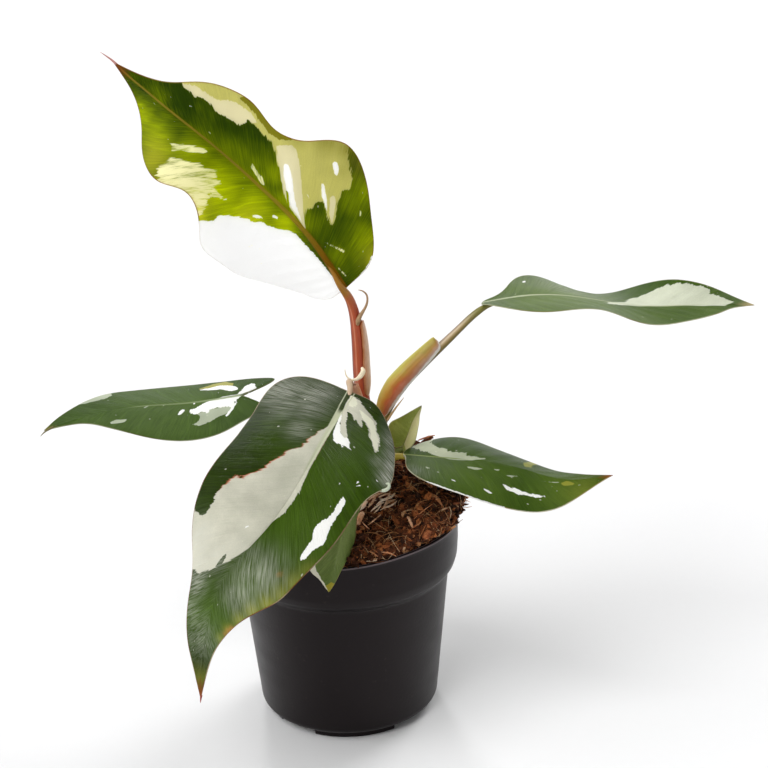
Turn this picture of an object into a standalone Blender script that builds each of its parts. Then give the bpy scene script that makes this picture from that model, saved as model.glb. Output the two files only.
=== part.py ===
"""A potted white knight philodendron: seven leaves on a short stem in a nursery pot.

Metres, +Z up. The pot stands on z = 0 with its axis on the Z axis, and the plant's front looks
to -Y. Design sizes are written in millimetres and become metres where a mesh is made.
"""

import math
import random

import bmesh
import bpy
import numpy as np
from mathutils import Matrix

MM = 0.001
GAP = 0.3

# Pot
RIM_RADIUS = 45.0
POT_HEIGHT = 80.0
COLLAR_BOTTOM = 66.0
CREASE_HEIGHT = 59.0
CREASE_RADIUS = 41.1
FOOT_RADIUS = 32.5
WALL = 1.1
FLOOR_TOP = 3.4
FLOOR_RECESS = 2.2
PANEL_RADIUS = 24.0
PANEL_TOP = 1.2
POT_STEPS = 40
NOTCHES = 4
NOTCH_WIDTH = 18.0
NOTCH_DEPTH = 8.0
NOTCH_TURN = 49.0
DRAIN_RING = 28.6
DRAIN_RADIUS = 2.4
DRAIN_SIDES = 10
LIP = 1.4

# Soil
SOIL_STEPS = 36
SOIL_RINGS = 8
SOIL_EDGE = 79.6
SOIL_PEAK = 101.5
SOIL_PEAK_AT = (18.0, 8.0)
SOIL_HEAP_TURN = 12.0
SOIL_HEAP_RISE = 11.0
SOIL_OVERHANG = 5.5
SOIL_ROUGHNESS = 1.1
SOIL_SEED = 7
# Rings where the soil leaves the pot: share of the overhang, height over SOIL_EDGE, share of rise.
SOIL_BROW = ((0.0, 1.1, 0.0), (1.0, 1.6, 0.1), (0.8, 2.6, 0.8))

# Stem
STEM_PATH = [(11, 0, 66), (12, 0, 84), (13, 0, 100), (12.5, 0, 118)]
STEM_RADII = [5.0, 5.0, 4.8, 4.2]
STEM_SIDES = 12
STEM_STEPS = 8
SOCKET_GAP = 0.36

# Blades
BLADE = 0.8
RIB = 0.8
MIDRIB_POINTS = 200
STATIONS = 22
ACROSS = 4
WIDTHS_AT = (0.02, 0.16, 0.33, 0.52, 0.70, 0.84, 0.93)
VEIN_START = 1.3
VEIN_SWEEP = 1.4

# Each leaf: midrib points from base to tip, the way its upper face looks there, and two halves.
# A half has how far its lobe reaches back (a share of the length), the lobe's width, the widths
# at WIDTHS_AT, and its lift from the midrib and its curl towards the margin in degrees.
LEAVES = {
    "A": {
        "midrib": [(4, -2, 176), (-10, -4, 196), (-26, -6, 215), (-43, -6, 232), (-60, -4, 248),
                   (-76, 0, 264)],
        "facing": [(0.3, 0.95, 0.3), (0.2, 1, 0.2), (0.1, 1, 0.1)],
        "left": {"lobe": -0.005, "lobe_width": 9, "widths": [16, 28, 35, 23, 23, 10, 4],
                 "lift": [45, 35, 15, 22, 0, 5], "curl": [5, 0, -5, -22, -8, 0]},
        "right": {"lobe": 0.03, "lobe_width": 15, "widths": [23, 33, 33, 23, 20, 11, 3],
                  "lift": [20, 10, -12, -50, 15, 5], "curl": [0, -12, -20, -22, 0, 0]},
    },
    "B": {
        "midrib": [(5, -12, 138), (-8, -40, 126), (-27, -64, 106), (-40, -74, 95), (-48, -76, 76),
                   (-53, -72, 43)],
        "facing": [(0, -0.5, 0.9), (-0.2, -0.6, 0.7), (-0.3, -0.8, 0.4), (-0.3, -0.9, 0.2)],
        "left": {"lobe": 0.02, "lobe_width": 12, "widths": [20, 29, 25, 25, 13, 5, 2],
                 "lift": [-15, -5, 10, 8, 14, 8], "curl": [-45, -40, -30, -10, -10, 0]},
        "right": {"lobe": 0.035, "lobe_width": 13, "widths": [33, 34, 32, 29, 14, 8, 3],
                  "lift": [-13, 18, 18, -12, -16, 5], "curl": [0, -40, -30, -30, -15, 0]},
    },
    "C": {
        "midrib": [(56, 8, 165), (73, 12, 166), (92, 18, 163), (118, 25, 156), (148, 32, 153),
                   (166, 36, 151)],
        "facing": [(0, 0, 1), (0, -0.05, 1), (0, -0.05, 1)],
        "left": {"lobe": -0.02, "lobe_width": 4, "widths": [6, 21, 33, 27, 18, 11, 6],
                 "lift": [-10, 6, 0, 3, 28, 10], "curl": [-15, -10, 0, -20, 0, -10]},
        "right": {"lobe": 0.01, "lobe_width": 7, "widths": [14, 26, 28, 22, 15, 8, 2],
                  "lift": [20, 6, 12, 5, 0, 0], "curl": [-25, 0, -5, -15, -5, -10]},
    },
    "D": {
        "midrib": [(24, -8, 110), (42, -12, 109.5), (69, -16, 106), (84, -20, 103),
                   (103, -24, 106)],
        "facing": [(0, -0.25, 1), (0, -0.3, 1), (0, -0.3, 1)],
        "left": {"lobe": 0.0, "lobe_width": 3, "widths": [7, 18, 19, 16, 11, 5, 2],
                 "lift": [-15, -5, -20, -20, 0], "curl": [-18, -20, -22, -18, -15]},
        "right": {"lobe": 0.03, "lobe_width": 8, "widths": [15, 22, 23, 20, 16, 8, 3],
                  "lift": [25, 15, -5, -12, 0], "curl": [-8, -8, -15, -15, -15]},
    },
    "F": {
        "midrib": [(-41, 42, 116.5), (-61, 38, 115.5), (-89, 30, 117), (-118, 20, 113)],
        "facing": [(0, -0.1, 1), (0, -0.15, 1), (0, -0.2, 1)],
        "left": {"lobe": 0.09, "lobe_width": 11, "widths": [16, 21, 22, 19, 11, 3, 1],
                 "lift": [-8, -6, -2, 8], "curl": [-10, -14, -16, -15]},
        "right": {"lobe": 0.19, "lobe_width": 10, "widths": [16, 19, 20, 18, 14, 8, 4],
                  "lift": [3, 0, 0, 10], "curl": [-15, -15, -15, -15]},
    },
    "G": {
        "midrib": [(8, -24, 104), (5, -36, 99), (2, -46, 92), (-4, -54, 76)],
        "facing": [(0.2, -0.4, 0.9), (0.3, -0.6, 0.7), (0.3, -0.9, 0.2)],
        "left": {"lobe": 0.04, "lobe_width": 5, "widths": [9, 10, 8, 6, 5, 3, 1],
                 "lift": [-10, -40, -40, -20], "curl": [-15, -15, -15, -15]},
        "right": {"lobe": 0.04, "lobe_width": 5, "widths": [10, 14, 15, 13, 11, 8, 4],
                  "lift": [5, 5, 5, 5], "curl": [-10, -10, -10, -10]},
    },
    "E": {
        "midrib": [(24.6, 4.6, 108.4), (26.3, 4.6, 112.6), (28.4, 5, 118), (32, 6.5, 124.3)],
        "facing": [(-0.3, -0.9, 0.4), (-0.3, -0.9, 0.4), (-0.3, -0.9, 0.3)],
        "left": {"lobe": 0.02, "lobe_width": 3, "widths": [4, 9, 11, 8, 5, 3, 1],
                 "lift": [10, 5, 5, 10], "curl": [-10, -10, -10, -10]},
        "right": {"lobe": 0.02, "lobe_width": 1, "widths": [2, 5, 8, 7, 5, 2, 1],
                  "lift": [50, 55, 55, 45], "curl": [-10, -10, -10, -10]},
    },
}

# Leaf stalks: points from inside the stem to just short of the blade, and the radii there.
STALKS = {
    "A": {"path": [(11.8, 2, 113), (10, 4, 124), (8.2, 3.2, 140), (6.8, 0.8, 158),
                   (4.6, -1.8, 174.0)],
          "radii": [2.5, 2.7, 2.7, 2.4, 1.6]},
    "B": {"path": [(11.5, -3, 106), (9, -5, 120), (6.4, -5.5, 133), (4.6, -6.6, 140.2),
                   (4.6, -8.6, 140.7), (4.8, -9.9, 139.8)],
          "radii": [1.9, 2.1, 2.0, 1.7, 1.5, 1.3]},
    "C": {"path": [(15.5, -0.5, 108), (17.4, -0.5, 122), (25, 1, 133), (35, 3.5, 144),
                   (45, 5.8, 154), (55.4, 7.7, 164.0)],
          "radii": [2.0, 2.4, 2.4, 2.2, 2.0, 1.5]},
    "D": {"path": [(15, -3, 104), (18, -4.8, 106.8), (20.8, -6.6, 108.6), (23.1, -7.6, 109.3)],
          "radii": [1.6, 1.8, 1.6, 1.2]},
    "F": {"path": [(10.5, 2.5, 106), (3, 10, 111), (-12, 24, 112.4), (-30, 36.2, 111.8),
                   (-39.3, 41.1, 114.4)],
          "radii": [1.6, 1.8, 1.6, 1.4, 1.1]},
    "G": {"path": [(12, -3, 100), (11.6, -8.5, 102.8), (10, -16, 105), (8.3, -22.9, 104.7)],
          "radii": [1.5, 1.6, 1.4, 1.1]},
    "E": {"path": [(15.8, 3.2, 103.2), (20, 4.4, 105.8), (24, 4.5, 106.9)],
          "radii": [1.3, 1.4, 1.1]},
}
STALK_SIDES = 8
STALK_STEPS = 10

# Sheaths: open wings of old stalk bases, each wrapped round a stalk from "start" to "end" of
# its length, over "opening" degrees centred on the direction "towards".
SHEATHS = {
    "A": {"stalk": "A", "start": 0.28, "end": 0.80, "towards": (0.95, -0.3, 0.1),
          "opening": 130, "reach": 0.2, "taper": 0.9},
    "B": {"stalk": "B", "start": 0.50, "end": 0.86, "towards": (0.9, -0.4, 0.2),
          "opening": 160, "reach": 0.9, "taper": -0.8},
    "C": {"stalk": "C", "start": 0.22, "end": 0.73, "towards": (-0.75, -0.25, 0.6),
          "opening": 230, "reach": 3.2, "taper": 0.25},
}
SHEATH_WALL = 0.8
SHEATH_GAP = 0.4
SHEATH_STEPS = 10
SHEATH_SEGMENTS = 8

# Edges sharper than this many degrees stay crisp.
CRISP = 40.0
CRISP_TURNED = 30.0
CRISP_GROWN = 60.0
SPLINE_POINTS = 400

COLOURS = {
    "pot": ((0.020, 0.018, 0.020), 0.42),
    "soil": ((0.060, 0.026, 0.012), 0.95),
    "stem": ((0.20, 0.16, 0.05), 0.55),
    "red_stalk": ((0.42, 0.09, 0.035), 0.40),
    "green_stalk": ((0.33, 0.30, 0.10), 0.45),
    "sheath": ((0.55, 0.42, 0.16), 0.45),
    "leaf": ((0.080, 0.150, 0.035), 0.35),
    "young_leaf": ((0.220, 0.330, 0.030), 0.35),
}


def clear_scene():
    for thing in list(bpy.data.objects):
        bpy.data.objects.remove(thing, do_unlink=True)


def material(name):
    colour, roughness = COLOURS[name]
    found = bpy.data.materials.get(name)
    if found:
        return found
    made = bpy.data.materials.new(name)
    made.use_nodes = True
    shader = made.node_tree.nodes["Principled BSDF"]
    shader.inputs["Base Color"].default_value = (*colour, 1.0)
    shader.inputs["Roughness"].default_value = roughness
    return made


def add_mesh(name, points, faces, colour, sharp=CRISP):
    """One closed piece from points in millimetres."""
    mesh = bpy.data.meshes.new(name)
    mesh.from_pydata([tuple(float(c) * MM for c in p) for p in points], [], faces)
    build = bmesh.new()
    build.from_mesh(mesh)
    bmesh.ops.recalc_face_normals(build, faces=build.faces)
    build.to_mesh(mesh)
    build.free()
    mesh.shade_smooth()
    mesh.set_sharp_from_angle(angle=math.radians(sharp))
    thing = bpy.data.objects.new(name, mesh)
    thing.data.materials.append(material(colour))
    bpy.context.scene.collection.objects.link(thing)
    return thing


def as_cutter(thing):
    thing.hide_render = True
    thing.display_type = "WIRE"
    return thing


def cut(target, cutter):
    boolean = target.modifiers.new("cut " + cutter.name, "BOOLEAN")
    boolean.operation = "DIFFERENCE"
    boolean.solver = "EXACT"
    boolean.object = cutter


def unit(vector):
    vector = np.asarray(vector, float)
    return vector / np.linalg.norm(vector, axis=-1, keepdims=True)


def through(places, values, at):
    """The natural cubic spline through values at places, read at the given places."""
    places = np.asarray(places, float)
    values = np.asarray(values, float)
    at = np.asarray(at, float)
    flat = values.ndim == 1
    if flat:
        values = values[:, None]
    count = len(places)
    step = np.diff(places)
    left = np.eye(count)
    right = np.zeros((count, values.shape[1]))
    for i in range(1, count - 1):
        left[i, i - 1:i + 2] = step[i - 1], 2 * (step[i - 1] + step[i]), step[i]
        rise = (values[i + 1] - values[i]) / step[i] - (values[i] - values[i - 1]) / step[i - 1]
        right[i] = 6 * rise
    bend = np.linalg.solve(left, right)
    i = np.clip(np.searchsorted(places, at) - 1, 0, count - 2)
    a = ((places[i + 1] - at) / step[i])[..., None]
    b = ((at - places[i]) / step[i])[..., None]
    size = (step[i] ** 2 / 6)[..., None]
    result = a * values[i] + b * values[i + 1]
    result = result + ((a ** 3 - a) * bend[i] + (b ** 3 - b) * bend[i + 1]) * size
    return result[..., 0] if flat else result


def smooth_path(points, count):
    """Evenly spaced points along the spline through the given ones, and their shares."""
    points = np.asarray(points, float)
    chord = np.concatenate([[0], np.cumsum(np.linalg.norm(np.diff(points, axis=0), axis=1))])
    places = np.linspace(0, chord[-1], SPLINE_POINTS)
    fine = through(chord, points, places)
    run = np.concatenate([[0], np.cumsum(np.linalg.norm(np.diff(fine, axis=0), axis=1))])
    share = np.linspace(0, 1, count)
    even = np.stack([np.interp(share * run[-1], run, fine[:, i]) for i in range(3)], axis=1)
    marks = np.interp(chord, places, run) / run[-1]
    return even, share, marks


def path_frames(points, hint):
    """Tangent, a side direction carried along from the hint, and the third direction."""
    tangent = unit(np.gradient(points, axis=0))
    sides = []
    side = np.asarray(hint, float)
    for t in tangent:
        side = unit(side - side.dot(t) * t)
        sides.append(side)
    sides = np.array(sides)
    return tangent, sides, np.cross(tangent, sides)


def tube(name, points, radii, sides, colour):
    """A round bar with flat ends through points in millimetres."""
    points = np.asarray(points, float)
    tangent, side, third = path_frames(points, (0.0, -1.0, 0.0))
    turn = np.linspace(0, 2 * math.pi, sides, endpoint=False)
    rings = points[:, None] + np.asarray(radii)[:, None, None] * (
        np.cos(turn)[None, :, None] * side[:, None] + np.sin(turn)[None, :, None] * third[:, None])
    count = len(points)
    faces = [list(range(sides))[::-1], [(count - 1) * sides + j for j in range(sides)]]
    for i in range(count - 1):
        for j in range(sides):
            k = (j + 1) % sides
            faces.append([i * sides + j, i * sides + k, (i + 1) * sides + k, (i + 1) * sides + j])
    return add_mesh(name, rings.reshape(-1, 3), faces, colour)


def lathe(name, profile, steps, colour):
    """A turned piece whose (radius, height) profile starts and ends on the axis."""
    turn = np.linspace(0, 2 * math.pi, steps, endpoint=False)
    points = [(0, 0, profile[0][1])]
    for radius, height in profile[1:-1]:
        points += [(radius * math.cos(a), radius * math.sin(a), height) for a in turn]
    points.append((0, 0, profile[-1][1]))
    return add_mesh(name, points, ring_faces(len(profile) - 2, steps), colour, CRISP_TURNED)


def ring_faces(rings, steps):
    """Faces over a first pole, a stack of rings and a last pole."""
    last = rings * steps + 1
    faces = []
    for j in range(steps):
        k = (j + 1) % steps
        faces.append([0, 1 + j, 1 + k])
        for i in range(rings - 1):
            low = 1 + i * steps
            faces.append([low + j, low + steps + j, low + steps + k, low + k])
        low = 1 + (rings - 1) * steps
        faces.append([low + j, last, low + k])
    return faces


def pot_inner_profile():
    """The pot's inside from the floor's middle up to the lip."""
    return [
        (0, PANEL_TOP),
        (PANEL_RADIUS, PANEL_TOP),
        (PANEL_RADIUS + 2, FLOOR_TOP),
        (FOOT_RADIUS + 1.0, FLOOR_TOP),
        (FOOT_RADIUS + 2.1, 5.2),
        (CREASE_RADIUS - WALL, CREASE_HEIGHT),
        (RIM_RADIUS - 2.9, COLLAR_BOTTOM),
        (RIM_RADIUS - 1.6, POT_HEIGHT - 1.0),
    ]


def make_pot():
    inner = pot_inner_profile()
    outer = [
        (RIM_RADIUS - LIP, POT_HEIGHT),
        (RIM_RADIUS - 0.2, POT_HEIGHT),
        (RIM_RADIUS, POT_HEIGHT - 0.4),
        (RIM_RADIUS - 0.4, POT_HEIGHT - 1.5),
        (RIM_RADIUS - 1.8, COLLAR_BOTTOM),
        (CREASE_RADIUS, CREASE_HEIGHT),
        (FOOT_RADIUS + 3.2, 5.0),
        (FOOT_RADIUS + 2.5, 3.6),
        (FOOT_RADIUS + 0.9, 2.6),
        (FOOT_RADIUS, FLOOR_RECESS),
        (FOOT_RADIUS, 0),
        (FOOT_RADIUS - 1.4, 0),
        (FOOT_RADIUS - 1.7, FLOOR_RECESS),
        (PANEL_RADIUS + 2.2, FLOOR_RECESS),
        (PANEL_RADIUS + 0.4, 0),
        (0, 0),
    ]
    pot = lathe("Pot", inner + outer, POT_STEPS, "pot")
    for i in range(NOTCHES):
        turn = math.radians(-90 + NOTCH_TURN + i * 360 / NOTCHES)
        cut(pot, notch_cutter(i, turn))
        cut(pot, drain_cutter(i, turn))
    return pot


def notch_cutter(index, turn):
    """A box that opens the foot ring at one drain hole."""
    bpy.ops.mesh.primitive_cube_add(size=1.0)
    box = bpy.context.object
    box.name = f"cutter_notch_{index}"
    reach = FOOT_RADIUS * MM
    size = (NOTCH_DEPTH * MM, NOTCH_WIDTH * MM, 2 * FLOOR_RECESS * MM, 1.0)
    box.data.transform(Matrix.Diagonal(size))
    box.location = (reach * math.cos(turn), reach * math.sin(turn), 0)
    box.rotation_euler = (0, 0, turn)
    return as_cutter(box)


def drain_cutter(index, turn):
    centre = (DRAIN_RING * math.cos(turn), DRAIN_RING * math.sin(turn))
    ends = [(*centre, FLOOR_RECESS - 1), (*centre, FLOOR_TOP + 1)]
    return as_cutter(tube(f"cutter_drain_{index}", ends, [DRAIN_RADIUS] * 2, DRAIN_SIDES, "pot"))


def heap(turn):
    """0 where the soil is level with the rim, 1 where it stands highest over it."""
    return 0.5 + 0.5 * math.cos(turn - math.radians(SOIL_HEAP_TURN))


def make_soil():
    """The root ball: it fills the pot, is heaped round the stem and hangs over one edge."""
    draw = random.Random(SOIL_SEED)
    inner = [(r - GAP - 0.1, z + GAP) for r, z in pot_inner_profile()[1:]]
    turns = [2 * math.pi * j / SOIL_STEPS for j in range(SOIL_STEPS)]
    points = [(0, 0, PANEL_TOP + GAP)]
    for radius, height in inner[:-1]:
        points += [(radius * math.cos(a), radius * math.sin(a), height) for a in turns]
    throat = RIM_RADIUS - LIP - 2 * GAP
    points += [(throat * math.cos(a), throat * math.sin(a), SOIL_EDGE - 0.6) for a in turns]
    for out, height, rise in SOIL_BROW:
        for a in turns:
            high = heap(a) ** 2
            r = throat - 0.6 * rise + out * SOIL_OVERHANG * high
            z = SOIL_EDGE + height + rise * SOIL_HEAP_RISE * high + draw.uniform(0, 0.4)
            points.append((r * math.cos(a), r * math.sin(a), z))
    for ring in range(SOIL_RINGS):
        share = 1 - (ring + 1) / (SOIL_RINGS + 1)
        for a in turns:
            points.append(soil_top(a, share, draw))
    points.append((*SOIL_PEAK_AT, SOIL_PEAK))
    rings = (len(points) - 2) // SOIL_STEPS
    soil = add_mesh("Soil", points, ring_faces(rings, SOIL_STEPS), "soil", CRISP_GROWN)
    path = smooth_path([np.array(STEM_PATH[0]) - (0, 0, GAP), *STEM_PATH[1:]], STEM_STEPS)[0]
    radii = [STEM_RADII[0] + GAP] * STEM_STEPS
    cut(soil, as_cutter(tube("cutter_stem_hole", path, radii, STEM_SIDES, "soil")))
    return soil


def soil_top(turn, share, draw):
    """A point of the soil's surface, share 1 at its edge and 0 at its peak."""
    high = heap(turn)
    edge = RIM_RADIUS - 3.0 + SOIL_OVERHANG * high ** 2
    x = SOIL_PEAK_AT[0] * (1 - share) + edge * math.cos(turn) * share
    y = SOIL_PEAK_AT[1] * (1 - share) + edge * math.sin(turn) * share
    rim = SOIL_EDGE + 2.4 + SOIL_HEAP_RISE * high ** 2
    z = rim + (SOIL_PEAK - rim) * (1 - share ** 1.5)
    rough = SOIL_ROUGHNESS * draw.uniform(-1, 1)
    return (x + 0.5 * draw.uniform(-1, 1), y + 0.5 * draw.uniform(-1, 1), z + rough)


class Leaf:
    """A leaf's surface, from its midrib, its facing and the shape of its two halves."""

    def __init__(self, spec):
        self.points, self.shares, self.marks = smooth_path(spec["midrib"], MIDRIB_POINTS)
        run = np.linalg.norm(np.diff(self.points, axis=0), axis=1)
        self.length = float(run.sum())
        self.facing = np.array(spec["facing"], float)
        self.halves = {-1: spec["left"], 1: spec["right"]}
        self.outlines = {side: self.outline(half) for side, half in self.halves.items()}

    def outline(self, half):
        """Margin points as (along, across) in millimetres, from base to tip."""
        along = [0, -half["lobe"], *WIDTHS_AT, 1]
        across = [0, half["lobe_width"], *half["widths"], 0]
        return np.stack([np.array(along) * self.length, across], axis=1)

    def midrib(self, along):
        start = unit(self.points[3] - self.points[0])
        share = np.clip(along / self.length, 0, 1)
        place = np.stack([np.interp(share, self.shares, self.points[:, i]) for i in range(3)], -1)
        return place + np.minimum(along, 0)[..., None] * start

    def frame(self, along):
        """The midrib's direction, the upper face's normal and the way to the right half."""
        step = self.length * 0.004
        inside = np.clip(along, step, self.length - step)
        ahead = unit(self.midrib(inside + step) - self.midrib(inside - step))
        share = np.clip(along / self.length, 0, 1)
        up = through(np.linspace(0, 1, len(self.facing)), self.facing, share)
        up = unit(up - (up * ahead).sum(-1, keepdims=True) * ahead)
        return ahead, up, np.cross(ahead, up)

    def surface(self, side, along, across):
        """Where the flat leaf's point (along, across) comes to lie."""
        half = self.halves[side]
        share = np.clip(along / self.length, 0, 1)
        lift = np.radians(through(self.marks, half["lift"], share))
        curl = np.radians(through(self.marks, half["curl"], share))
        bend = curl / max(half["widths"])
        bend = np.where(np.abs(bend) < 1e-5, 1e-5, bend)
        out = (np.sin(lift + bend * across) - np.sin(lift)) / bend
        rise = (np.cos(lift) - np.cos(lift + bend * across)) / bend
        up, right = self.frame(along)[1:]
        return self.midrib(along) + side * out[..., None] * right + rise[..., None] * up

    def vein_point(self, side, station, share):
        """The flat place on the vein that leaves the midrib at a station, 0 base to 1 tip."""
        outline = self.outlines[side]
        chord = np.diff(outline * (2.0 / self.length, 1.0 / outline[:, 1].max()), axis=0)
        run = np.concatenate([[0], np.cumsum(np.linalg.norm(chord, axis=1))])
        margin = through(run / run[-1], outline, station)
        start = self.length * station ** VEIN_START
        along = start + (margin[..., 0] - start) * share ** VEIN_SWEEP
        return along, np.maximum(margin[..., 1], 0) * share

    def grid(self, side, stations, across):
        station, share = np.meshgrid(np.linspace(0, 1, stations), np.linspace(0, 1, across),
                                     indexing="ij")
        return self.surface(side, *self.vein_point(side, station, share))


def make_blade(name, spec, colour):
    """A closed blade, split into triangles alike on its upper and lower faces."""
    leaf = Leaf(spec)
    left = leaf.grid(-1, STATIONS, ACROSS + 1)[:, :0:-1]
    right = leaf.grid(1, STATIONS, ACROSS + 1)
    sheet = np.concatenate([left, right], axis=1)
    count = sheet.shape[1]
    base, tip = sheet[0, ACROSS], sheet[-1, ACROSS]
    middle = sheet[1:-1].reshape(-1, 3)
    points = np.concatenate([[base], middle, [tip]])
    rows = STATIONS - 2
    tip_index = 1 + rows * count
    triangles = []
    for j in range(count - 1):
        triangles.append((0, 1 + j, 2 + j))
        last = 1 + (rows - 1) * count + j
        triangles.append((last, tip_index, last + 1))
    for i in range(rows - 1):
        for j in range(count - 1):
            a = 1 + i * count + j
            b = a + count
            if j < ACROSS:
                triangles += [(a, b, a + 1), (a + 1, b, b + 1)]
            else:
                triangles += [(a, b, b + 1), (a, b + 1, a + 1)]
    normals = point_normals(points, triangles)
    up = leaf.frame(np.array(0.5 * leaf.length))[1]
    if normals[1 + (rows // 2) * count + ACROSS].dot(up) < 0:
        normals = -normals
    rib = np.zeros(len(points))
    for i in range(rows):
        rib[1 + i * count + ACROSS] = RIB * (1 - (i + 1) / STATIONS)
    rib[0] = 0.4 * RIB
    upper = points + normals * BLADE / 2
    lower = points - normals * (BLADE / 2 + rib)[:, None]
    total = len(points)
    faces = [list(t) for t in triangles]
    faces += [[v + total for v in reversed(t)] for t in triangles]
    faces += rim_faces(triangles, total)
    return add_mesh(name, np.concatenate([upper, lower]), faces, colour, CRISP_GROWN)


def point_normals(points, triangles):
    normals = np.zeros_like(points)
    for a, b, c in triangles:
        face = np.cross(points[b] - points[a], points[c] - points[a])
        for v in (a, b, c):
            normals[v] += face
    return unit(normals)


def rim_faces(triangles, total):
    """Triangles that close the margin between the two faces of a blade."""
    edges = {}
    for t in triangles:
        for a, b in zip(t, t[1:] + t[:1]):
            edges[(a, b)] = True
    faces = []
    for a, b in edges:
        if (b, a) not in edges:
            faces += [[b, a, a + total], [b, a + total, b + total]]
    return faces


def make_stalk(letter, spec, colour):
    points, share, marks = smooth_path(spec["path"], STALK_STEPS)
    radii = through(marks, spec["radii"], share)
    return tube(f"Stalk_{letter}", points, radii, STALK_SIDES, colour)


def socket_cutter(letter, spec):
    """The stalk's root, wider by the gap, to cut its seat in the stem."""
    points, share, marks = smooth_path(spec["path"], STALK_STEPS)
    radii = through(marks, spec["radii"], share) + SOCKET_GAP
    points = points[:4].copy()
    points[0] += unit(points[0] - points[1]) * SOCKET_GAP
    return as_cutter(tube(f"cutter_socket_{letter}", points, radii[:4], STALK_SIDES, colour="stem"))


def make_stem():
    points, share, marks = smooth_path(STEM_PATH, STEM_STEPS)
    stem = tube("Stem", points, through(marks, STEM_RADII, share), STEM_SIDES, "stem")
    for letter, spec in STALKS.items():
        cut(stem, socket_cutter(letter, spec))
    return stem


def make_sheath(letter, spec):
    """An open wing that wraps a stretch of its stalk and tapers out at its upper end."""
    stalk = STALKS[spec["stalk"]]
    points, share, marks = smooth_path(stalk["path"], 60)
    tangent, side, third = path_frames(points, spec["towards"])
    radii = through(marks, stalk["radii"], share)
    along = np.linspace(spec["start"], spec["end"], SHEATH_STEPS)
    rings = []
    for i, place in enumerate(along):
        at = np.interp(place, share, np.arange(len(share)))
        low = int(min(at, len(share) - 2))
        part = at - low
        centre, u, w = (v[low] * (1 - part) + v[low + 1] * part for v in (points, side, third))
        radius = np.interp(place, share, radii) + SHEATH_GAP
        progress = i / (SHEATH_STEPS - 1)
        spread = math.radians(spec["opening"]) / 2 * (1 - 0.3 * progress ** 3)
        grown = 0.3 + 0.7 * min(1, progress / 0.35)
        reach = spec["reach"] * grown * (1 - spec["taper"] * progress ** 2)
        turn = np.linspace(-spread, spread, SHEATH_SEGMENTS + 1)
        bulge = reach * np.cos(turn * math.pi / 2 / spread) ** 2
        way = np.cos(turn)[:, None] * u + np.sin(turn)[:, None] * w
        inner = centre + (radius + bulge)[:, None] * way
        outer = centre + (radius + bulge + SHEATH_WALL)[:, None] * way
        rings.append(np.concatenate([outer, inner[::-1]]))
    loop = 2 * (SHEATH_SEGMENTS + 1)
    faces = []
    for i in range(SHEATH_STEPS - 1):
        for j in range(loop):
            k = (j + 1) % loop
            faces.append([i * loop + j, i * loop + k, (i + 1) * loop + k, (i + 1) * loop + j])
    for row, flip in ((0, True), (SHEATH_STEPS - 1, False)):
        for j in range(SHEATH_SEGMENTS):
            face = [row * loop + v for v in (j, j + 1, loop - 2 - j, loop - 1 - j)]
            faces.append(face[::-1] if flip else face)
    return add_mesh(f"Sheath_{letter}", np.concatenate(rings), faces, "sheath")


def main():
    clear_scene()
    make_pot()
    make_soil()
    make_stem()
    for letter, spec in LEAVES.items():
        make_blade(f"Leaf_{letter}", spec, "young_leaf" if letter == "A" else "leaf")
    for letter, spec in STALKS.items():
        make_stalk(letter, spec, "red_stalk" if letter == "A" else "green_stalk")
    for letter, spec in SHEATHS.items():
        make_sheath(letter, spec)


main()
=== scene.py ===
"""The dressed plant: a potted white knight philodendron, in metres, +Z up.

The pot stands on z = 0 with its axis on the Z axis, and the plant's front looks to -Y. Design
sizes are written in millimetres and become metres where a mesh is made.
"""

import math
import random

import bmesh
import bpy
import numpy as np
from mathutils import Matrix, Vector, noise


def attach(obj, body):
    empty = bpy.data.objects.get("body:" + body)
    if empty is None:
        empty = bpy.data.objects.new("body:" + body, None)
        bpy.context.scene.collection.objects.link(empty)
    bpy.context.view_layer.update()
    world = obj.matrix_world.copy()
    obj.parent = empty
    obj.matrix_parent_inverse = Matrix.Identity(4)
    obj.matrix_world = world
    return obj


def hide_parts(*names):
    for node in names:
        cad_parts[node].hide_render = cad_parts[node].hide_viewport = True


MM = 0.001

# Pot
RIM_RADIUS = 45.0
POT_HEIGHT = 80.0
COLLAR_BOTTOM = 66.0
CREASE_HEIGHT = 59.0
CREASE_RADIUS = 41.1
FOOT_RADIUS = 32.5
WALL = 1.1
FLOOR_TOP = 3.4
FLOOR_RECESS = 2.2
PANEL_RADIUS = 24.0
PANEL_TOP = 1.2
LIP = 1.4
POT_ROUNDING = 0.8
RIM_LIFT = 2.4
RIM_LIFT_TURN = -48.0
POT_STEPS = 160
NOTCHES = 4
NOTCH_WIDTH = 18.0
NOTCH_DEPTH = 8.0
NOTCH_TURN = 49.0
DRAIN_RING = 28.6
DRAIN_RADIUS = 2.4
DRAIN_SIDES = 28
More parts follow.
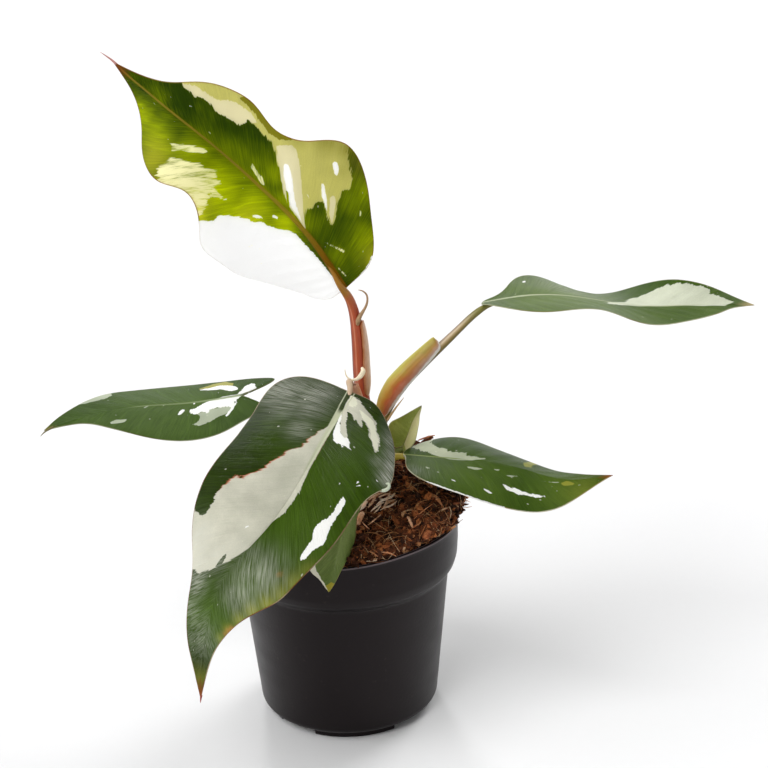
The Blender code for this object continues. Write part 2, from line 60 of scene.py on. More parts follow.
# The pot's inside from the floor's middle up to the lip, then its outside down to the base, as
# (radius, height).
POT_INSIDE = [
    (0, PANEL_TOP), (PANEL_RADIUS, PANEL_TOP), (PANEL_RADIUS + 2, FLOOR_TOP),
    (FOOT_RADIUS + 1.0, FLOOR_TOP), (FOOT_RADIUS + 2.1, 5.2),
    (CREASE_RADIUS - WALL, CREASE_HEIGHT), (RIM_RADIUS - 2.9, COLLAR_BOTTOM),
    (RIM_RADIUS - 1.6, POT_HEIGHT - 1.0),
]
POT_OUTSIDE = [
    (RIM_RADIUS - 1.5, POT_HEIGHT - 0.1), (RIM_RADIUS - 1.15, POT_HEIGHT),
    (RIM_RADIUS - 0.85, POT_HEIGHT - 0.3), (RIM_RADIUS - 0.35, POT_HEIGHT - 0.3),
    (RIM_RADIUS, POT_HEIGHT), (RIM_RADIUS + 0.35, POT_HEIGHT - 0.4),
    (RIM_RADIUS + 0.1, POT_HEIGHT - 1.5), (RIM_RADIUS + 0.1, POT_HEIGHT - 8.0),
    (RIM_RADIUS - 0.3, COLLAR_BOTTOM), (RIM_RADIUS - 1.3, COLLAR_BOTTOM - 3.2),
    (CREASE_RADIUS + 0.6, CREASE_HEIGHT + 1.7), (CREASE_RADIUS + 0.1, CREASE_HEIGHT + 0.8),
    (FOOT_RADIUS + 3.2, 5.0), (FOOT_RADIUS + 2.5, 3.6), (FOOT_RADIUS + 0.9, 2.6),
    (FOOT_RADIUS, FLOOR_RECESS), (FOOT_RADIUS, 0), (FOOT_RADIUS - 1.4, 0),
    (FOOT_RADIUS - 1.7, FLOOR_RECESS), (PANEL_RADIUS + 2.2, FLOOR_RECESS),
    (PANEL_RADIUS + 0.4, 0), (0, 0),
]

# Soil
SOIL_STEPS = 260
SOIL_RINGS = 84
BROW_ROWS = 18
# The first row, counted from the pot's lip, on which loose bits lie.
SHOWN_FROM = 3
SOIL_EDGE = 79.6
SOIL_PEAK = 101.5
SOIL_PEAK_AT = (18.0, 8.0)
SOIL_HEAP_TURN = 12.0
SOIL_HEAP_RISE = 11.0
PEAK_SHARE = 1.5
SOIL_OVERHANG = 5.5

# Stem
STEM_PATH = [(11, 0, 66), (12, 0, 84), (13, 0, 100), (12.5, 0, 118)]
STEM_RADII = [5.0, 5.0, 4.8, 4.2]
STEM_RINGS = 60
STEM_SIDES = 32
STEM_LENGTH = 52
RINGED_AT = (0.62, 0.74, 0.86)

# Blades
MIDRIB_POINTS = 200
SPLINE_POINTS = 400
WIDTHS_AT = (0.02, 0.16, 0.33, 0.52, 0.70, 0.84, 0.93)
VEIN_START = 2.1
VEIN_SWEEP = 0.9
# The folds' tone is a painted highlight where a fold catches the light, over its pale tone.
TONES = ("pale", "fold_highlight", "cream", "white", "yellow", "green")

# Each leaf: midrib points from base to tip, the way its upper face looks there, and two halves.
# A half has how far its lobe reaches back (a share of the length), the lobe's width, the widths
# at WIDTHS_AT or at its own shares "at", and its lift from the midrib and its curl towards the
# margin in degrees.
LEAVES = {
    "A": {
        "midrib": [(4, -2, 176), (-8.4, -4, 197.8), (-24.6, -6, 217.2), (-41.6, -6, 233.8),
                   (-58.9, -4, 249.1), (-76, 0, 264)],
        "facing": [(0.3, 0.95, 0.3), (0.2, 1, 0.2), (0.1, 1, 0.1)],
        "left": {"lobe": -0.005, "lobe_width": 6,
                 "at": (0.03, 0.06, 0.14, 0.24, 0.34, 0.41, 0.46, 0.51, 0.61, 0.67, 0.73, 0.78,
                        0.842, 0.93),
                 "widths": [15.2, 18.3, 23.6, 30.2, 33.3, 26.8, 21.4, 19.5, 21.5, 20.7, 18.2, 14,
                            7.5, 2.5],
                 "lift": [45, 35, 15, 22, 0, 5], "curl": [5, 0, -5, -22, -8, 0]},
        "right": {"lobe": 0.03, "lobe_width": 16,
                  "at": (0.02, 0.16, 0.33, 0.45, 0.52, 0.60, 0.66, 0.72, 0.77, 0.81, 0.87, 0.93),
                  "widths": [27, 38, 35.5, 29.8, 24, 22, 23.2, 22, 20.4, 16.4, 8.6, 3],
                  "lift": [20, 10, -12, -50, 15, 5], "curl": [0, -12, -20, -22, 0, 0]},
    },
    "B": {
        "midrib": [(5, -12, 138), (-8, -40, 126), (-27, -64, 106), (-40, -74, 95), (-48, -76, 76),
                   (-53, -72, 43)],
        "facing": [(0, -0.5, 0.9), (-0.2, -0.6, 0.7), (-0.3, -0.8, 0.4), (-0.3, -0.9, 0.2)],
        "left": {"lobe": 0.01, "lobe_width": 11,
                 "at": (0.03, 0.08, 0.14, 0.19, 0.255, 0.31, 0.42, 0.52, 0.59, 0.64, 0.70, 0.78,
                        0.85, 0.93),
                 "widths": [20.6, 26.6, 29.4, 30.3, 26.6, 24.2, 24, 22.8, 22.2, 19.4, 13.8, 7.8,
                            4.1, 1.8],
                 "lift": [-15, -5, 10, 8, 14, 8], "curl": [-45, -40, -30, -10, -10, 0]},
        "right": {"lobe": 0.035, "lobe_width": 13, "widths": [33, 33, 31.7, 29.4, 14.4, 7.8, 2.6],
                  "lift": [-13, 18, 18, -12, -16, 5], "curl": [0, -40, -30, -30, -15, 0]},
    },
    "C": {
        "midrib": [(56, 8, 165), (73, 12, 166), (92, 18, 163), (118, 25, 156), (148, 32, 153),
                   (166, 36, 151)],
        "facing": [(0, 0, 1), (0, -0.05, 1), (0, -0.05, 1)],
        "left": {"lobe": -0.02, "lobe_width": 4,
                 "at": (0.05, 0.09, 0.15, 0.22, 0.33, 0.52, 0.70, 0.84, 0.93),
                 "widths": [6, 9.5, 18, 26, 31, 27, 18, 11, 6],
                 "lift": [-10, 0, -5, -0.5, 28, 10], "curl": [-15, -10, 0, -20, 0, -10]},
        "right": {"lobe": 0.01, "lobe_width": 7, "widths": [14, 26, 28, 22, 15, 8, 2],
                  "lift": [20, 6, 12, 5, 0, 0], "curl": [-25, 0, -5, -15, -5, -10]},
    },
    "D": {
        "midrib": [(24, -8, 110), (42, -12, 109.5), (69, -16, 106), (84, -20, 103),
                   (103, -24, 106)],
        "facing": [(0, -0.25, 1), (0, -0.3, 1), (0, -0.3, 1)],
        "left": {"lobe": 0.0, "lobe_width": 4, "widths": [10, 20, 21, 17.5, 12, 5.5, 2],
                 "lift": [-15, -5, -20, -20, 0], "curl": [-18, -20, -22, -18, -15]},
        "right": {"lobe": -0.01, "lobe_width": 0.8, "widths": [2.5, 21.5, 22.5, 20, 16, 8, 3],
                  "lift": [25, 15, -5, -12, 0], "curl": [-8, -8, -15, -15, -15]},
    },
    "F": {
        "midrib": [(-41, 42, 116.5), (-61, 38, 115.5), (-89, 30, 117), (-118, 20, 113)],
        "facing": [(0, -0.1, 1), (0, -0.15, 1), (0, -0.2, 1)],
        "left": {"lobe": 0.09, "lobe_width": 11, "widths": [16, 21, 22, 19, 11, 3, 1],
                 "lift": [-8, -6, -2, 8], "curl": [-10, -14, -16, -15]},
        "right": {"lobe": 0.19, "lobe_width": 10, "widths": [16, 19, 20, 18, 14, 8, 4],
                  "lift": [3, 0, 0, 10], "curl": [-15, -15, -15, -15]},
    },
    "G": {
        "midrib": [(8, -24, 104), (3.6, -36, 99), (-0.6, -46, 92), (-5, -54, 76)],
        "facing": [(0.2, -0.4, 0.9), (0.3, -0.6, 0.7), (0.3, -0.9, 0.2)],
        "left": {"lobe": 0.04, "lobe_width": 2.5,
                 "at": (0.02, 0.16, 0.30, 0.38, 0.46, 0.54, 0.64, 0.79, 0.92),
                 "widths": [2.5, 3, 4.2, 7.2, 9.8, 10.2, 9.3, 5.5, 2.2],
                 "lift": [-10, -40, -40, -20], "curl": [-15, -15, -15, -15]},
        "right": {"lobe": 0.04, "lobe_width": 5,
                  "at": (0.02, 0.16, 0.33, 0.52, 0.70, 0.84, 0.90, 0.96),
                  "widths": [10, 12.5, 12.5, 10.8, 10.2, 8.8, 5, 2],
                  "lift": [5, 5, 5, 5], "curl": [-10, -10, -10, -10]},
    },
    "E": {
        "midrib": [(24.6, 4.6, 108.4), (26.3, 4.6, 112.6), (28.4, 5, 118), (32, 6.5, 124.3)],
        "facing": [(-0.3, -0.9, 0.4), (-0.3, -0.9, 0.4), (-0.3, -0.9, 0.3)],
        "left": {"lobe": 0.12, "lobe_width": 3, "widths": [5, 8, 8.5, 6, 3.4, 1.8, 0.8],
                 "lift": [10, 5, 5, 10], "curl": [-10, -10, -10, -10]},
        "right": {"lobe": 0.13, "lobe_width": 3, "widths": [5, 6.5, 8, 7, 4.6, 2, 1],
                  "lift": [50, 55, 55, 45], "curl": [-10, -10, -10, -10]},
    },
}

# Patches of other tones on the flat leaf, the folds' paler one a painted highlight: tone, how
# ragged its edge is in millimetres, and its outline as (along the midrib, across it with the left
# half negative) in millimetres.
PATCHES = {
    "A": [
        ("pale", 1.2, [(98, -13), (96, -11), (94.5, -10.5), (92, -10.5), (90, -9.5), (89.5, -11),
         (87, -11.5), (84.5, -11.5), (82, -10.5), (80, -10.5), (78.5, -11), (76, -11),
         (74.5, -11.5), (72.5, -12), (71, -11.5), (71, -13.5), (70, -14), (71, -15.5), (69, -16),
         (66.5, -16), (64.5, -15.5), (62, -15), (59.5, -15), (57, -14), (54.5, -12.5), (51, -10),
         (48.5, -7.5), (44.5, -5), (42, -3.5), (38.5, -2), (35.5, -1.5), (31.5, -1), (28, -0.5),
         (32, -4), (33.5, -6), (32, -7.5), (33, -10), (32, -12), (30, -12), (28, -10.5),
         (24.5, -9), (23, -9), (23, -10.5), (28.5, -16), (29, -18.5), (30.5, -20), (28.5, -22.5),
         (30, -24.5), (32, -26.5), (34, -27), (33, -27.5), (36.5, -29.5), (39, -31.5),
         (41.5, -35.5), (44, -37), (47.5, -34.5), (50, -31), (54, -26.5), (58, -23), (62, -23),
         (66, -23.5), (70.5, -24.5), (74.5, -25), (78, -24.5), (82, -24), (86.5, -23), (91, -20.5),
         (95.5, -17.5)]),
        ("fold_highlight", 0.9, [(96, -11), (94, -13), (90.5, -14), (88, -14), (84.5, -14), (82, -14.5),
         (81, -16.5), (79, -17), (76, -18), (73, -18), (70.5, -17.5), (68, -17), (69, -16),
         (71, -15.5), (70, -14), (71, -13.5), (71, -11.5), (72.5, -12), (74.5, -11.5), (76, -11),
         (78.5, -11), (80, -10.5), (82, -10.5), (84.5, -11.5), (87, -11.5), (89.5, -11),
         (90, -9.5), (92, -10.5), (94.5, -10.5)]),
        ("fold_highlight", 0.5, [(57.5, -15.5), (55.5, -18), (53.5, -20), (51, -19), (47, -16), (41.5, -11),
         (35.5, -6), (28, -0.5), (31.5, -1), (35.5, -1.5), (38.5, -2), (42, -3.5), (44.5, -5),
         (48.5, -7.5), (51, -10), (54.5, -12.5)]),
        ("yellow", 0.7, [(78.5, -18.5), (76.5, -19.5), (75, -19.5), (72, -19.5), (68.5, -18.5),
         (65, -17.5), (62, -17), (59, -17.5), (57.5, -18.5), (55, -21), (55.5, -24), (58, -22.5),
         (60.5, -22), (65, -23), (69.5, -23.5), (72.5, -24.5), (75.5, -24), (77.5, -20.5)]),
        ("white", 0.5, [(51, -11.5), (51, -13), (49.5, -13.5), (46.5, -11.5), (42, -7.5),
         (38, -4.5), (33.5, -2.5), (30, -1), (32.5, -1.5), (36, -2), (38.5, -2.5), (42, -4.5),
         (45.5, -7), (48.5, -9)]),
        ("white", 0.3, [(40.1, -24.8), (39.4, -26.3), (37, -25.1), (35.3, -23.2), (35.3, -21.7),
         (37.7, -23.2)]),
        ("white", 0.3, [(37, -16.5), (36, -17), (32.5, -14.5), (27.5, -11), (28.5, -11),
         (31.5, -12.5), (33, -13)]),
        ("fold_highlight", 0.4, [(31.5, -15.2), (30.8, -16.6), (29.1, -16.2), (25.6, -12.3), (23.2, -9.4),
         (26.3, -10.6)]),
        ("white", 0.2, [(38, -10.1), (37.3, -10.1), (35.3, -9.2), (35.6, -8.9)]),
        ("green", 0.3, [(43.9, -5.5), (43.2, -6), (40.5, -3.6), (37.7, -1.7), (38.7, -1.7),
         (41.1, -3.1)]),
        ("white", 0.8, [(63, 27), (60.5, 23.5), (58, 22), (56, 20), (56.5, 18), (52, 15.5),
         (46.5, 13.5), (42.5, 12.5), (40.5, 10.5), (38, 10.5), (33, 8), (30.5, 5.5), (28.5, 4),
         (24, 4), (17, 3), (9, 2), (2, 1), (-1.5, 0), (-5, 4.5), (-6, 15.5), (-0.5, 32), (10, 46),
         (35.5, 43), (55.5, 37.5), (64.5, 35), (64.5, 29)]),
        ("cream", 2.6, [(85, 17), (82.5, 13), (78, 12), (73.5, 10), (68, 7.5), (64, 9), (65, 13),
         (64, 16.5), (62, 20.5), (64, 26), (69, 26), (74, 25), (78.5, 26), (82.5, 21.5)]),
        ("cream", 1, [(86.5, 9.5), (80.5, 5.5), (75, 3), (75, 4.5), (79, 7.5), (84.5, 11)]),
        ("cream", 0.8, [(65, 12.8), (62.6, 12.3), (58.4, 11.6), (60.1, 13.5), (63.9, 15.4)]),
        ("cream", 0.5, [(59.5, -4.5), (57.5, -4), (53, -3), (50.5, -1.5), (52, -1), (55, -2),
         (59, -3)]),
        ("white", 0.2, [(45.6, 10.9), (44.3, 9.4), (41.8, 8.7), (41.5, 9.4), (44.6, 11.1)]),
        ("white", 0.2, [(40.1, 6), (39.8, 4.8), (37.7, 4.3), (37.3, 5.1), (39.1, 6)]),
        ("white", 0.2, [(59.8, 12.8), (58.1, 11.1), (57.7, 11.8), (59.1, 13)]),
        ("cream", 0.3, [(58.8, 1.7), (56.7, 1), (56.7, 1.4), (58.4, 1.7)]),
        ("white", 0.4, [(2.5, -12.5), (4.5, -15.7), (3.5, -16.6), (1.8, -15), (-0.3, -9.9),
         (-1, -3.4), (0.4, -3.6), (1.4, -9.2)]),
        ("cream", 0.2, [(21.1, -21), (20.4, -21.2), (18.7, -20.3), (18.7, -19.5)]),
        ("white", 0.3, [(3, 0.8), (-9, 0.8), (-9, 28), (3, 28)]),
        ("cream", 0.4, [(9, -2.2), (8.4, -1.8), (4, -2.8), (4, -3.2)]),
        ("cream", 0.4, [(20, -3.2), (19.4, -3), (12, -7), (12.4, -7.6)]),
    ],
    "B": [
        ("pale", 1.3, [(17, -1), (24, 3), (33, 6), (37, 9), (43, 12), (49, 14), (53, 17), (57, 19),
         (57, 21), (61, 22), (65, 23), (70, 23), (74, 22), (78, 22), (79, 23), (78, 26), (79, 33),
         (87, 29), (98, 20), (96, 12), (93, 9), (90, 6), (87, 3), (82, 1), (78, 0), (71, 0),
         (65, 0), (60, -2), (55, -2), (48, -2), (40, -1), (31, -1), (23, -1)]),
        ("white", 0.6, [(10.5, -0.5), (14.5, -1), (18.5, -1.5), (22.5, -2), (25.5, -3.5), (26, -5),
         (26, -6.5), (27.5, -8), (25.5, -7.5), (25.5, -9), (26, -10.5), (26.5, -11.5), (23.5, -9),
         (21.5, -7.5), (22.5, -6.5), (20.5, -4), (17, -2.5), (13, -1.5)]),
        ("pale", 0.7, [(3.5, -0.5), (6.5, -0.5), (10.5, -1), (13, -1.5), (17, -2.5), (20.5, -4),
         (22.5, -6.5), (21.5, -7.5), (18.5, -6), (16, -4.5), (14.5, -3.5), (13.5, -4), (11, -3),
         (9, -2.5), (5.5, -2)]),
        ("pale", 0.9, [(1.5, -0.5), (1.5, -2.5), (1.5, -4.5), (3, -6), (4, -8.5), (5, -11.5),
         (6.5, -14), (8.5, -15), (10, -15.5), (11.5, -17.5), (13.5, -19.5), (15, -19.5),
         (14.5, -18), (17.5, -20), (20, -19), (17.5, -17), (15, -14.5), (12, -12.5), (10.5, -10.5),
         (10, -9), (13, -10.5), (13.5, -10.5), (13, -8.5), (11.5, -7), (12.5, -6.5), (11, -5),
         (9.5, -3.5), (9, -2.5), (6.5, -1)]),
        ("fold_highlight", 0.6, [(1.3, -0.7), (1.7, -2.7), (3, -3.9), (4.6, -4.6), (6.7, -3.4), (7.1, -2.2),
         (5, -1)]),
        ("fold_highlight", 0.6, [(6, -6), (6, -7), (6.5, -10), (7, -12.5), (8.5, -14.5), (11, -15.5),
         (12.5, -17.5), (13.5, -19.5), (14.5, -18), (17.5, -19.5), (19, -19), (17.5, -17),
         (14.5, -15), (11.5, -13), (10, -10.5), (8.5, -8)]),
        ("white", 0.6, [(45, -17), (46, -19), (50, -19), (53, -19), (59, -20), (62, -21),
         (65, -20), (66, -19), (68, -19), (70, -19), (71, -18), (69, -17), (66, -17), (64, -17),
         (60, -15), (57, -15), (54, -17), (52, -17), (47, -17)]),
        ("white", 0.3, [(40.5, -13), (40.5, -13.5), (42, -14), (42, -13.5)]),
        ("white", 0.3, [(74, 6.5), (71.5, 6), (71.5, 5.5), (74, 6)]),
        ("green", 0.3, [(90.5, 6), (86.5, 6), (84, 5.5), (86, 4.5), (89, 4)]),
        ("white", 0.2, [(30.1, -21.5), (30.7, -21.9), (31.1, -21.4), (30.6, -21)]),
        ("white", 0.2, [(36.1, -19.1), (36.9, -19.7), (37.5, -18.9), (36.8, -18.4)]),
    ],
    "C": [
        ("pale", 1.3, [(61, -4), (66, -10), (73, -12), (77, -12.5), (82, -13.5), (87, -13),
         (91, -11.6), (96, -9.6), (99, -8), (98, -6), (101, -5), (103, -4), (107, -2), (102, 1),
         (93, 1), (83, 0), (72, 0), (59, 2), (47, 7), (54, 0)]),
        ("white", 0.3, [(23.5, -18.5), (26, -20), (24.5, -17), (23, -16.5)]),
    ],
    "D": [
        ("pale", 1.3, [(2, -8), (4, -17), (6, -19), (9, -19), (9, -11), (12, -8), (16, -7),
         (17, -5), (21, -5), (24, -5), (25, -3), (28, -3), (32, -2), (27, 0), (22, 1), (18, 1),
         (13, -1), (7, -4)]),
        ("white", 0.6, [(40, 10), (42, 10), (46, 10), (48, 10), (52, 10), (55, 9), (58, 9),
         (56, 10), (52, 11), (47, 12), (43, 12)]),
        ("pale", 0.3, [(25.5, 5), (29, 4.5), (32.5, 4.5), (29, 6), (25.5, 6)]),
        ("pale", 0.3, [(35, 3.5), (38.5, 3), (37, 4)]),
        ("pale", 0.3, [(39.5, 5.5), (46.5, 3.5), (43, 5.5)]),
        ("white", 0.3, [(32, 15.5), (34.5, 15.5), (37, 16), (35, 17)]),
        ("white", 0.3, [(20.5, 15.5), (22.5, 16), (21.5, 17)]),
        ("pale", 0.3, [(11, 11), (12.5, 11), (12.5, 12.5), (11.5, 12)]),
        ("pale", 0.3, [(53.5, 3), (61.5, 1.5), (61, 2), (56.5, 2.5)]),
        ("yellow", 0.6, [(46, -6), (49, -18), (51, -17), (49, -5), (47, -3)]),
        ("yellow", 0.3, [(62, 2), (64, 0.5), (67, 1.5), (66.5, 2.5), (63, 3)]),
        ("white", 0.5, [(13, 21.4), (18, 21.7), (24, 22.2), (30, 21.9), (36, 21), (44, 19.4),
         (44, 30), (13, 30)]),
    ],
    "F": [
        ("white", 0.8, [(-7, 8), (-6, 9), (-3, 7), (0, 3), (1, 1), (7, 1), (14, -1), (17, -3),
         (21, -5), (22, -7), (19, -8), (17, -7), (15, -8), (13, -6), (10, -6), (6, -6), (4, -7),
         (3, -4), (0, -1), (-2, 1), (-5, 2), (-7, 4)]),
        ("pale", 0.6, [(19, -8), (17, -7), (15, -8), (13, -6), (10, -6), (6, -6), (4, -7),
         (7, -10), (10, -11), (12, -12), (16, -14), (19, -15), (22, -14), (19, -12), (18, -10)]),
        ("white", 0.3, [(24.5, -4), (23.5, -5), (26, -8), (27, -7.5), (26, -5.5)]),
        ("white", 0.3, [(19.5, -0.5), (18.5, -0.5), (19, -1.5), (19.5, -1.5)]),
        ("pale", 0.3, [(55, -8), (52.5, -7), (48, -8), (49.5, -9.5), (52.5, -9.5), (55, -9)]),
        ("pale", 0.6, [(48, 24), (52, 24), (59, 18), (67, 12), (63, 10), (58, 10), (52, 11),
         (50, 13)]),
        ("pale", 0.3, [(40, -1.5), (37.5, 0.5), (37, 0), (39.5, -2)]),
        ("white", 0.3, [(8, -11), (4.5, -6.5), (2, -3.5), (2, -4.5), (4.5, -8.5), (7.5, -12)]),
        ("yellow", 0.4, [(16.5, 11.5), (12.7, 14), (9, 16), (4, 16), (1, 12), (2, 10), (7, 12.5),
         (12, 11.8)]),
        ("white", 0.4, [(16, 10.6), (12.7, 11.8), (8, 12.6), (3, 11), (0.3, 8), (0.2, 5),
         (3, 4.6), (7.4, 8), (12, 9.6)]),
    ],
    "G": [
        ("white", 0.5, [(35.3, 11), (35.6, 7.8), (38.5, 6.2), (41, 3.8), (44.6, 0.6),
         (44.6, 1.5), (41.5, 7), (38.5, 11)]),
        ("yellow", 0.3, [(43.2, 1.9), (41.5, -0), (42.1, -2.2), (45.3, -1.7), (45.1, -0)]),
    ],
    "E": [
        ("pale", 0.6, [(1, 0.5), (10, 0.6), (20, 0.4), (20, 12), (-3, 12)]),
    ],
}

# White flecks on the flat leaf, all of one shape, as (along, across, half length).
FLECK_OUTLINE = np.array([(-1, 0), (0, -0.9), (1, 0.1), (-0.2, 0.9)])
FLECK_RAGGED = 0.2
FLECKS = {
    "A": [(89.47, -6.03, 0.26), (88.78, -6.26, 0.22), (87.76, -2.66, 0.25), (70.8, 3.87, 0.4),
          (58.07, -11.83, 0.26), (57, -10.63, 0.3), (58.77, -7, 0.24), (82.57, 2.67, 0.26),
          (22.5, -14.74, 0.3), (21.77, -15.9, 0.2), (89.8, 16.63, 0.4), (91.57, 18.57, 0.26),
          (90.17, 2.2, 0.25), (96.7, -4.33, 0.3)],
    "B": [(31.47, -24.4, 0.56), (31.46, -25.57, 0.37), (29.38, -24.36, 0.22), (37.7, -20.27, 0.4),
          (38.5, -19.07, 0.3), (31.46, -14.46, 0.25), (32.7, -16.17, 0.33), (31.88, -13.96, 0.22),
          (21.96, -7.47, 0.37), (19.07, -9.43, 0.26), (25.28, -15.66, 0.22), (19.9, -16.17, 0.3),
          (34.77, -7.2, 0.34), (35.17, -8.9, 0.2), (41.4, -13.27, 0.33), (39.37, -16.6, 0.34),
          (45.1, -20.54, 0.3), (45.07, -1.2, 0.2), (62.87, -20.7, 0.2), (74.07, -16.63, 0.26),
          (69.47, -17.1, 0.2), (36, 25.12, 0.43), (1.68, -9.16, 0.22)],
}

# Leaf stalks: points from inside the stem to just short of the blade, and the radii there.
STALKS = {
    "A": {"path": [(11.8, 2, 113), (10, 4, 124), (8.6, 3.2, 140), (8.1, 0.8, 158),
                   (4.6, -1.8, 174.0)],
          "radii": [2.5, 2.7, 2.7, 2.4, 1.6]},
    "B": {"path": [(11.5, -3, 106), (9, -5, 120), (6.4, -5.5, 133), (4.6, -6.6, 140.2),
                   (4.6, -8.6, 140.7), (4.8, -9.9, 139.8)],
          "radii": [1.9, 2.0, 1.8, 1.35, 1.2, 1.1]},
    "C": {"path": [(15.0, -0.5, 108), (16.6, -0.5, 122), (23.4, 1, 133.6), (34.0, 3.3, 144.2),
                   (47.0, 5.8, 155.8), (54.6, 7.3, 162.2)],
          "radii": [2.0, 2.3, 2.2, 1.9, 1.45, 1.3]},
    "D": {"path": [(15, -3, 104), (18, -4.8, 106.8), (20.8, -6.6, 108.6), (23.1, -7.6, 109.3)],
          "radii": [1.6, 1.8, 1.6, 1.2]},
    "F": {"path": [(10.5, 2.5, 106), (3, 10, 111), (-12, 24, 112.4), (-30, 36.2, 111.8),
                   (-39.3, 41.1, 114.4)],
          "radii": [1.6, 1.8, 1.6, 1.4, 1.1]},
    "G": {"path": [(12, -3, 100), (11.6, -8.5, 102.8), (10, -16, 105), (8.3, -22.9, 104.7)],
          "radii": [1.5, 1.6, 1.4, 1.1]},
    "E": {"path": [(15.8, 3.2, 103.2), (20, 4.4, 105.8), (24, 4.5, 106.9)],
          "radii": [1.3, 1.4, 1.1]},
}

# Sheaths: open wings of old stalk bases, each wrapped round its stalk from "start" to "end" of
# the stalk's length, over "opening" degrees centred on the direction "towards".
SHEATHS = {
    "A": {"start": 0.28, "end": 0.80, "towards": (0.95, -0.1, 0.1), "opening": 120,
          "reach": 0.5, "taper": 0.9},
    "B": {"start": 0.50, "end": 0.86, "towards": (0.9, -0.4, 0.2), "opening": 160,
          "reach": 0.5, "taper": -0.3},
    "C": {"start": 0.22, "end": 0.73, "towards": (-0.75, -0.25, 0.6), "opening": 230,
          "reach": 3.2, "taper": 0.25},
}

# How each leaf is coloured, in 0-255 sRGB: its two greens, the lighter one laid on as painted
# light, its other tones, among them painted sheen and the painted highlight of folds, and "deep"
# and "bright", how light that passes through the two greens is tinted. COMMON_LOOK holds where a
# leaf has no tone of its own.
COMMON_LOOK = {
    "cream": (236, 236, 214), "fold_highlight": (236, 236, 214), "white": (255, 255, 252),
    "warm": (150, 152, 56), "painted_sheen": (214, 214, 202), "blush": (204, 112, 80),
    "scar": (178, 128, 70), "deep": (80, 110, 0), "bright": (120, 160, 20),
}
LOOKS = {
    "A": {"dark": (46, 66, 0), "light": (132, 146, 0), "pale": (226, 222, 146),
          "cream": (255, 252, 214), "white": (255, 255, 255), "yellow": (160, 156, 44),
          "fold_highlight": (236, 231, 200), "rib": (160, 108, 10), "rib_far": (170, 148, 50),
          "rim": (170, 146, 60), "edge": (160, 100, 60), "tip": (160, 88, 40),
          "warm": (236, 226, 80), "deep": (98, 122, 0), "bright": (240, 248, 0)},
    "B": {"dark": (32, 50, 0), "light": (66, 94, 16), "pale": (226, 224, 206),
          "yellow": (150, 158, 62), "rib": (204, 208, 176), "rib_far": (196, 200, 172),
          "rim": (204, 184, 150), "edge": (128, 60, 40), "tip": (158, 84, 40),
          "deep": (70, 96, 0), "bright": (110, 150, 10)},
    "C": {"dark": (50, 78, 8), "light": (100, 124, 44), "pale": (226, 230, 208),
          "yellow": (196, 190, 70), "rib": (196, 204, 168), "rib_far": (190, 196, 160),
          "rim": (196, 196, 160), "edge": (150, 140, 90), "tip": (178, 160, 110),
          "warm": (190, 190, 90)},
    "D": {"dark": (44, 70, 8), "light": (84, 108, 36), "pale": (206, 212, 184),
          "yellow": (150, 152, 56), "rib": (150, 164, 104), "rib_far": (120, 140, 70),
          "rim": (224, 220, 192), "edge": (168, 150, 100), "tip": (146, 82, 36)},
    "F": {"dark": (40, 64, 14), "light": (78, 102, 42), "pale": (196, 204, 180),
          "yellow": (172, 168, 90), "rib": (158, 172, 130), "rib_far": (130, 146, 96),
          "rim": (176, 180, 140), "edge": (110, 110, 60), "tip": (122, 116, 50),
          "warm": (150, 150, 70)},
    "G": {"dark": (96, 120, 46), "light": (142, 158, 92), "pale": (190, 194, 160),
          "white": (250, 246, 228), "yellow": (176, 164, 40), "rib": (104, 122, 56),
          "rib_far": (104, 122, 56), "rim": (160, 150, 84), "edge": (140, 120, 70),
          "tip": (172, 160, 44)},
    "E": {"dark": (152, 164, 74), "light": (192, 198, 120), "pale": (238, 232, 186),
          "white": (248, 245, 230), "yellow": (184, 172, 52), "rib": (150, 156, 92),
          "rib_far": (176, 176, 120), "rim": (200, 196, 144), "edge": (178, 172, 118),
          "tip": (140, 142, 90), "deep": (130, 150, 10), "bright": (180, 196, 40)},
}

# Each leaf's surface: its gloss, its roughness, how far green mottles its pale tone, and the
# share of light that passes through it.
SURFACES = {
    "A": (0.12, 0.5, 0.12, 0.6),
    "B": (0.1, 0.22, 0.34, 0.2),
    "C": (0.1, 0.36, 0.22, 0.2),
    "D": (0.08, 0.34, 0.35, 0.2),
    "F": (0.12, 0.44, 0.3, 0.2),
    "G": (0.34, 0.36, 0.2, 0.25),
    "E": (0.3, 0.42, 0.75, 0.35),
}

# Each leaf's length in millimetres, for tones that change along it.
SPANS = {"A": 121, "B": 144, "C": 115, "D": 82, "F": 80, "G": 45, "E": 18}

# The pale line along each midrib: half width at its base and tip in millimetres, the share of the
# length where it fades out, and the share up to which it is two lines with green between.
MIDRIBS = {
    "A": (1.35, 0.3, 1.2, -1.0), "B": (1.6, 0.25, 0.60, 0.34), "C": (1.3, 0.3, 0.95, -1.0),
    "D": (0.7, 0.2, 0.6, -1.0), "F": (0.9, 0.25, 0.8, -1.0), "G": (0.5, 0.2, 0.6, -1.0),
    "E": (0.5, 0.2, 0.9, -1.0),
}
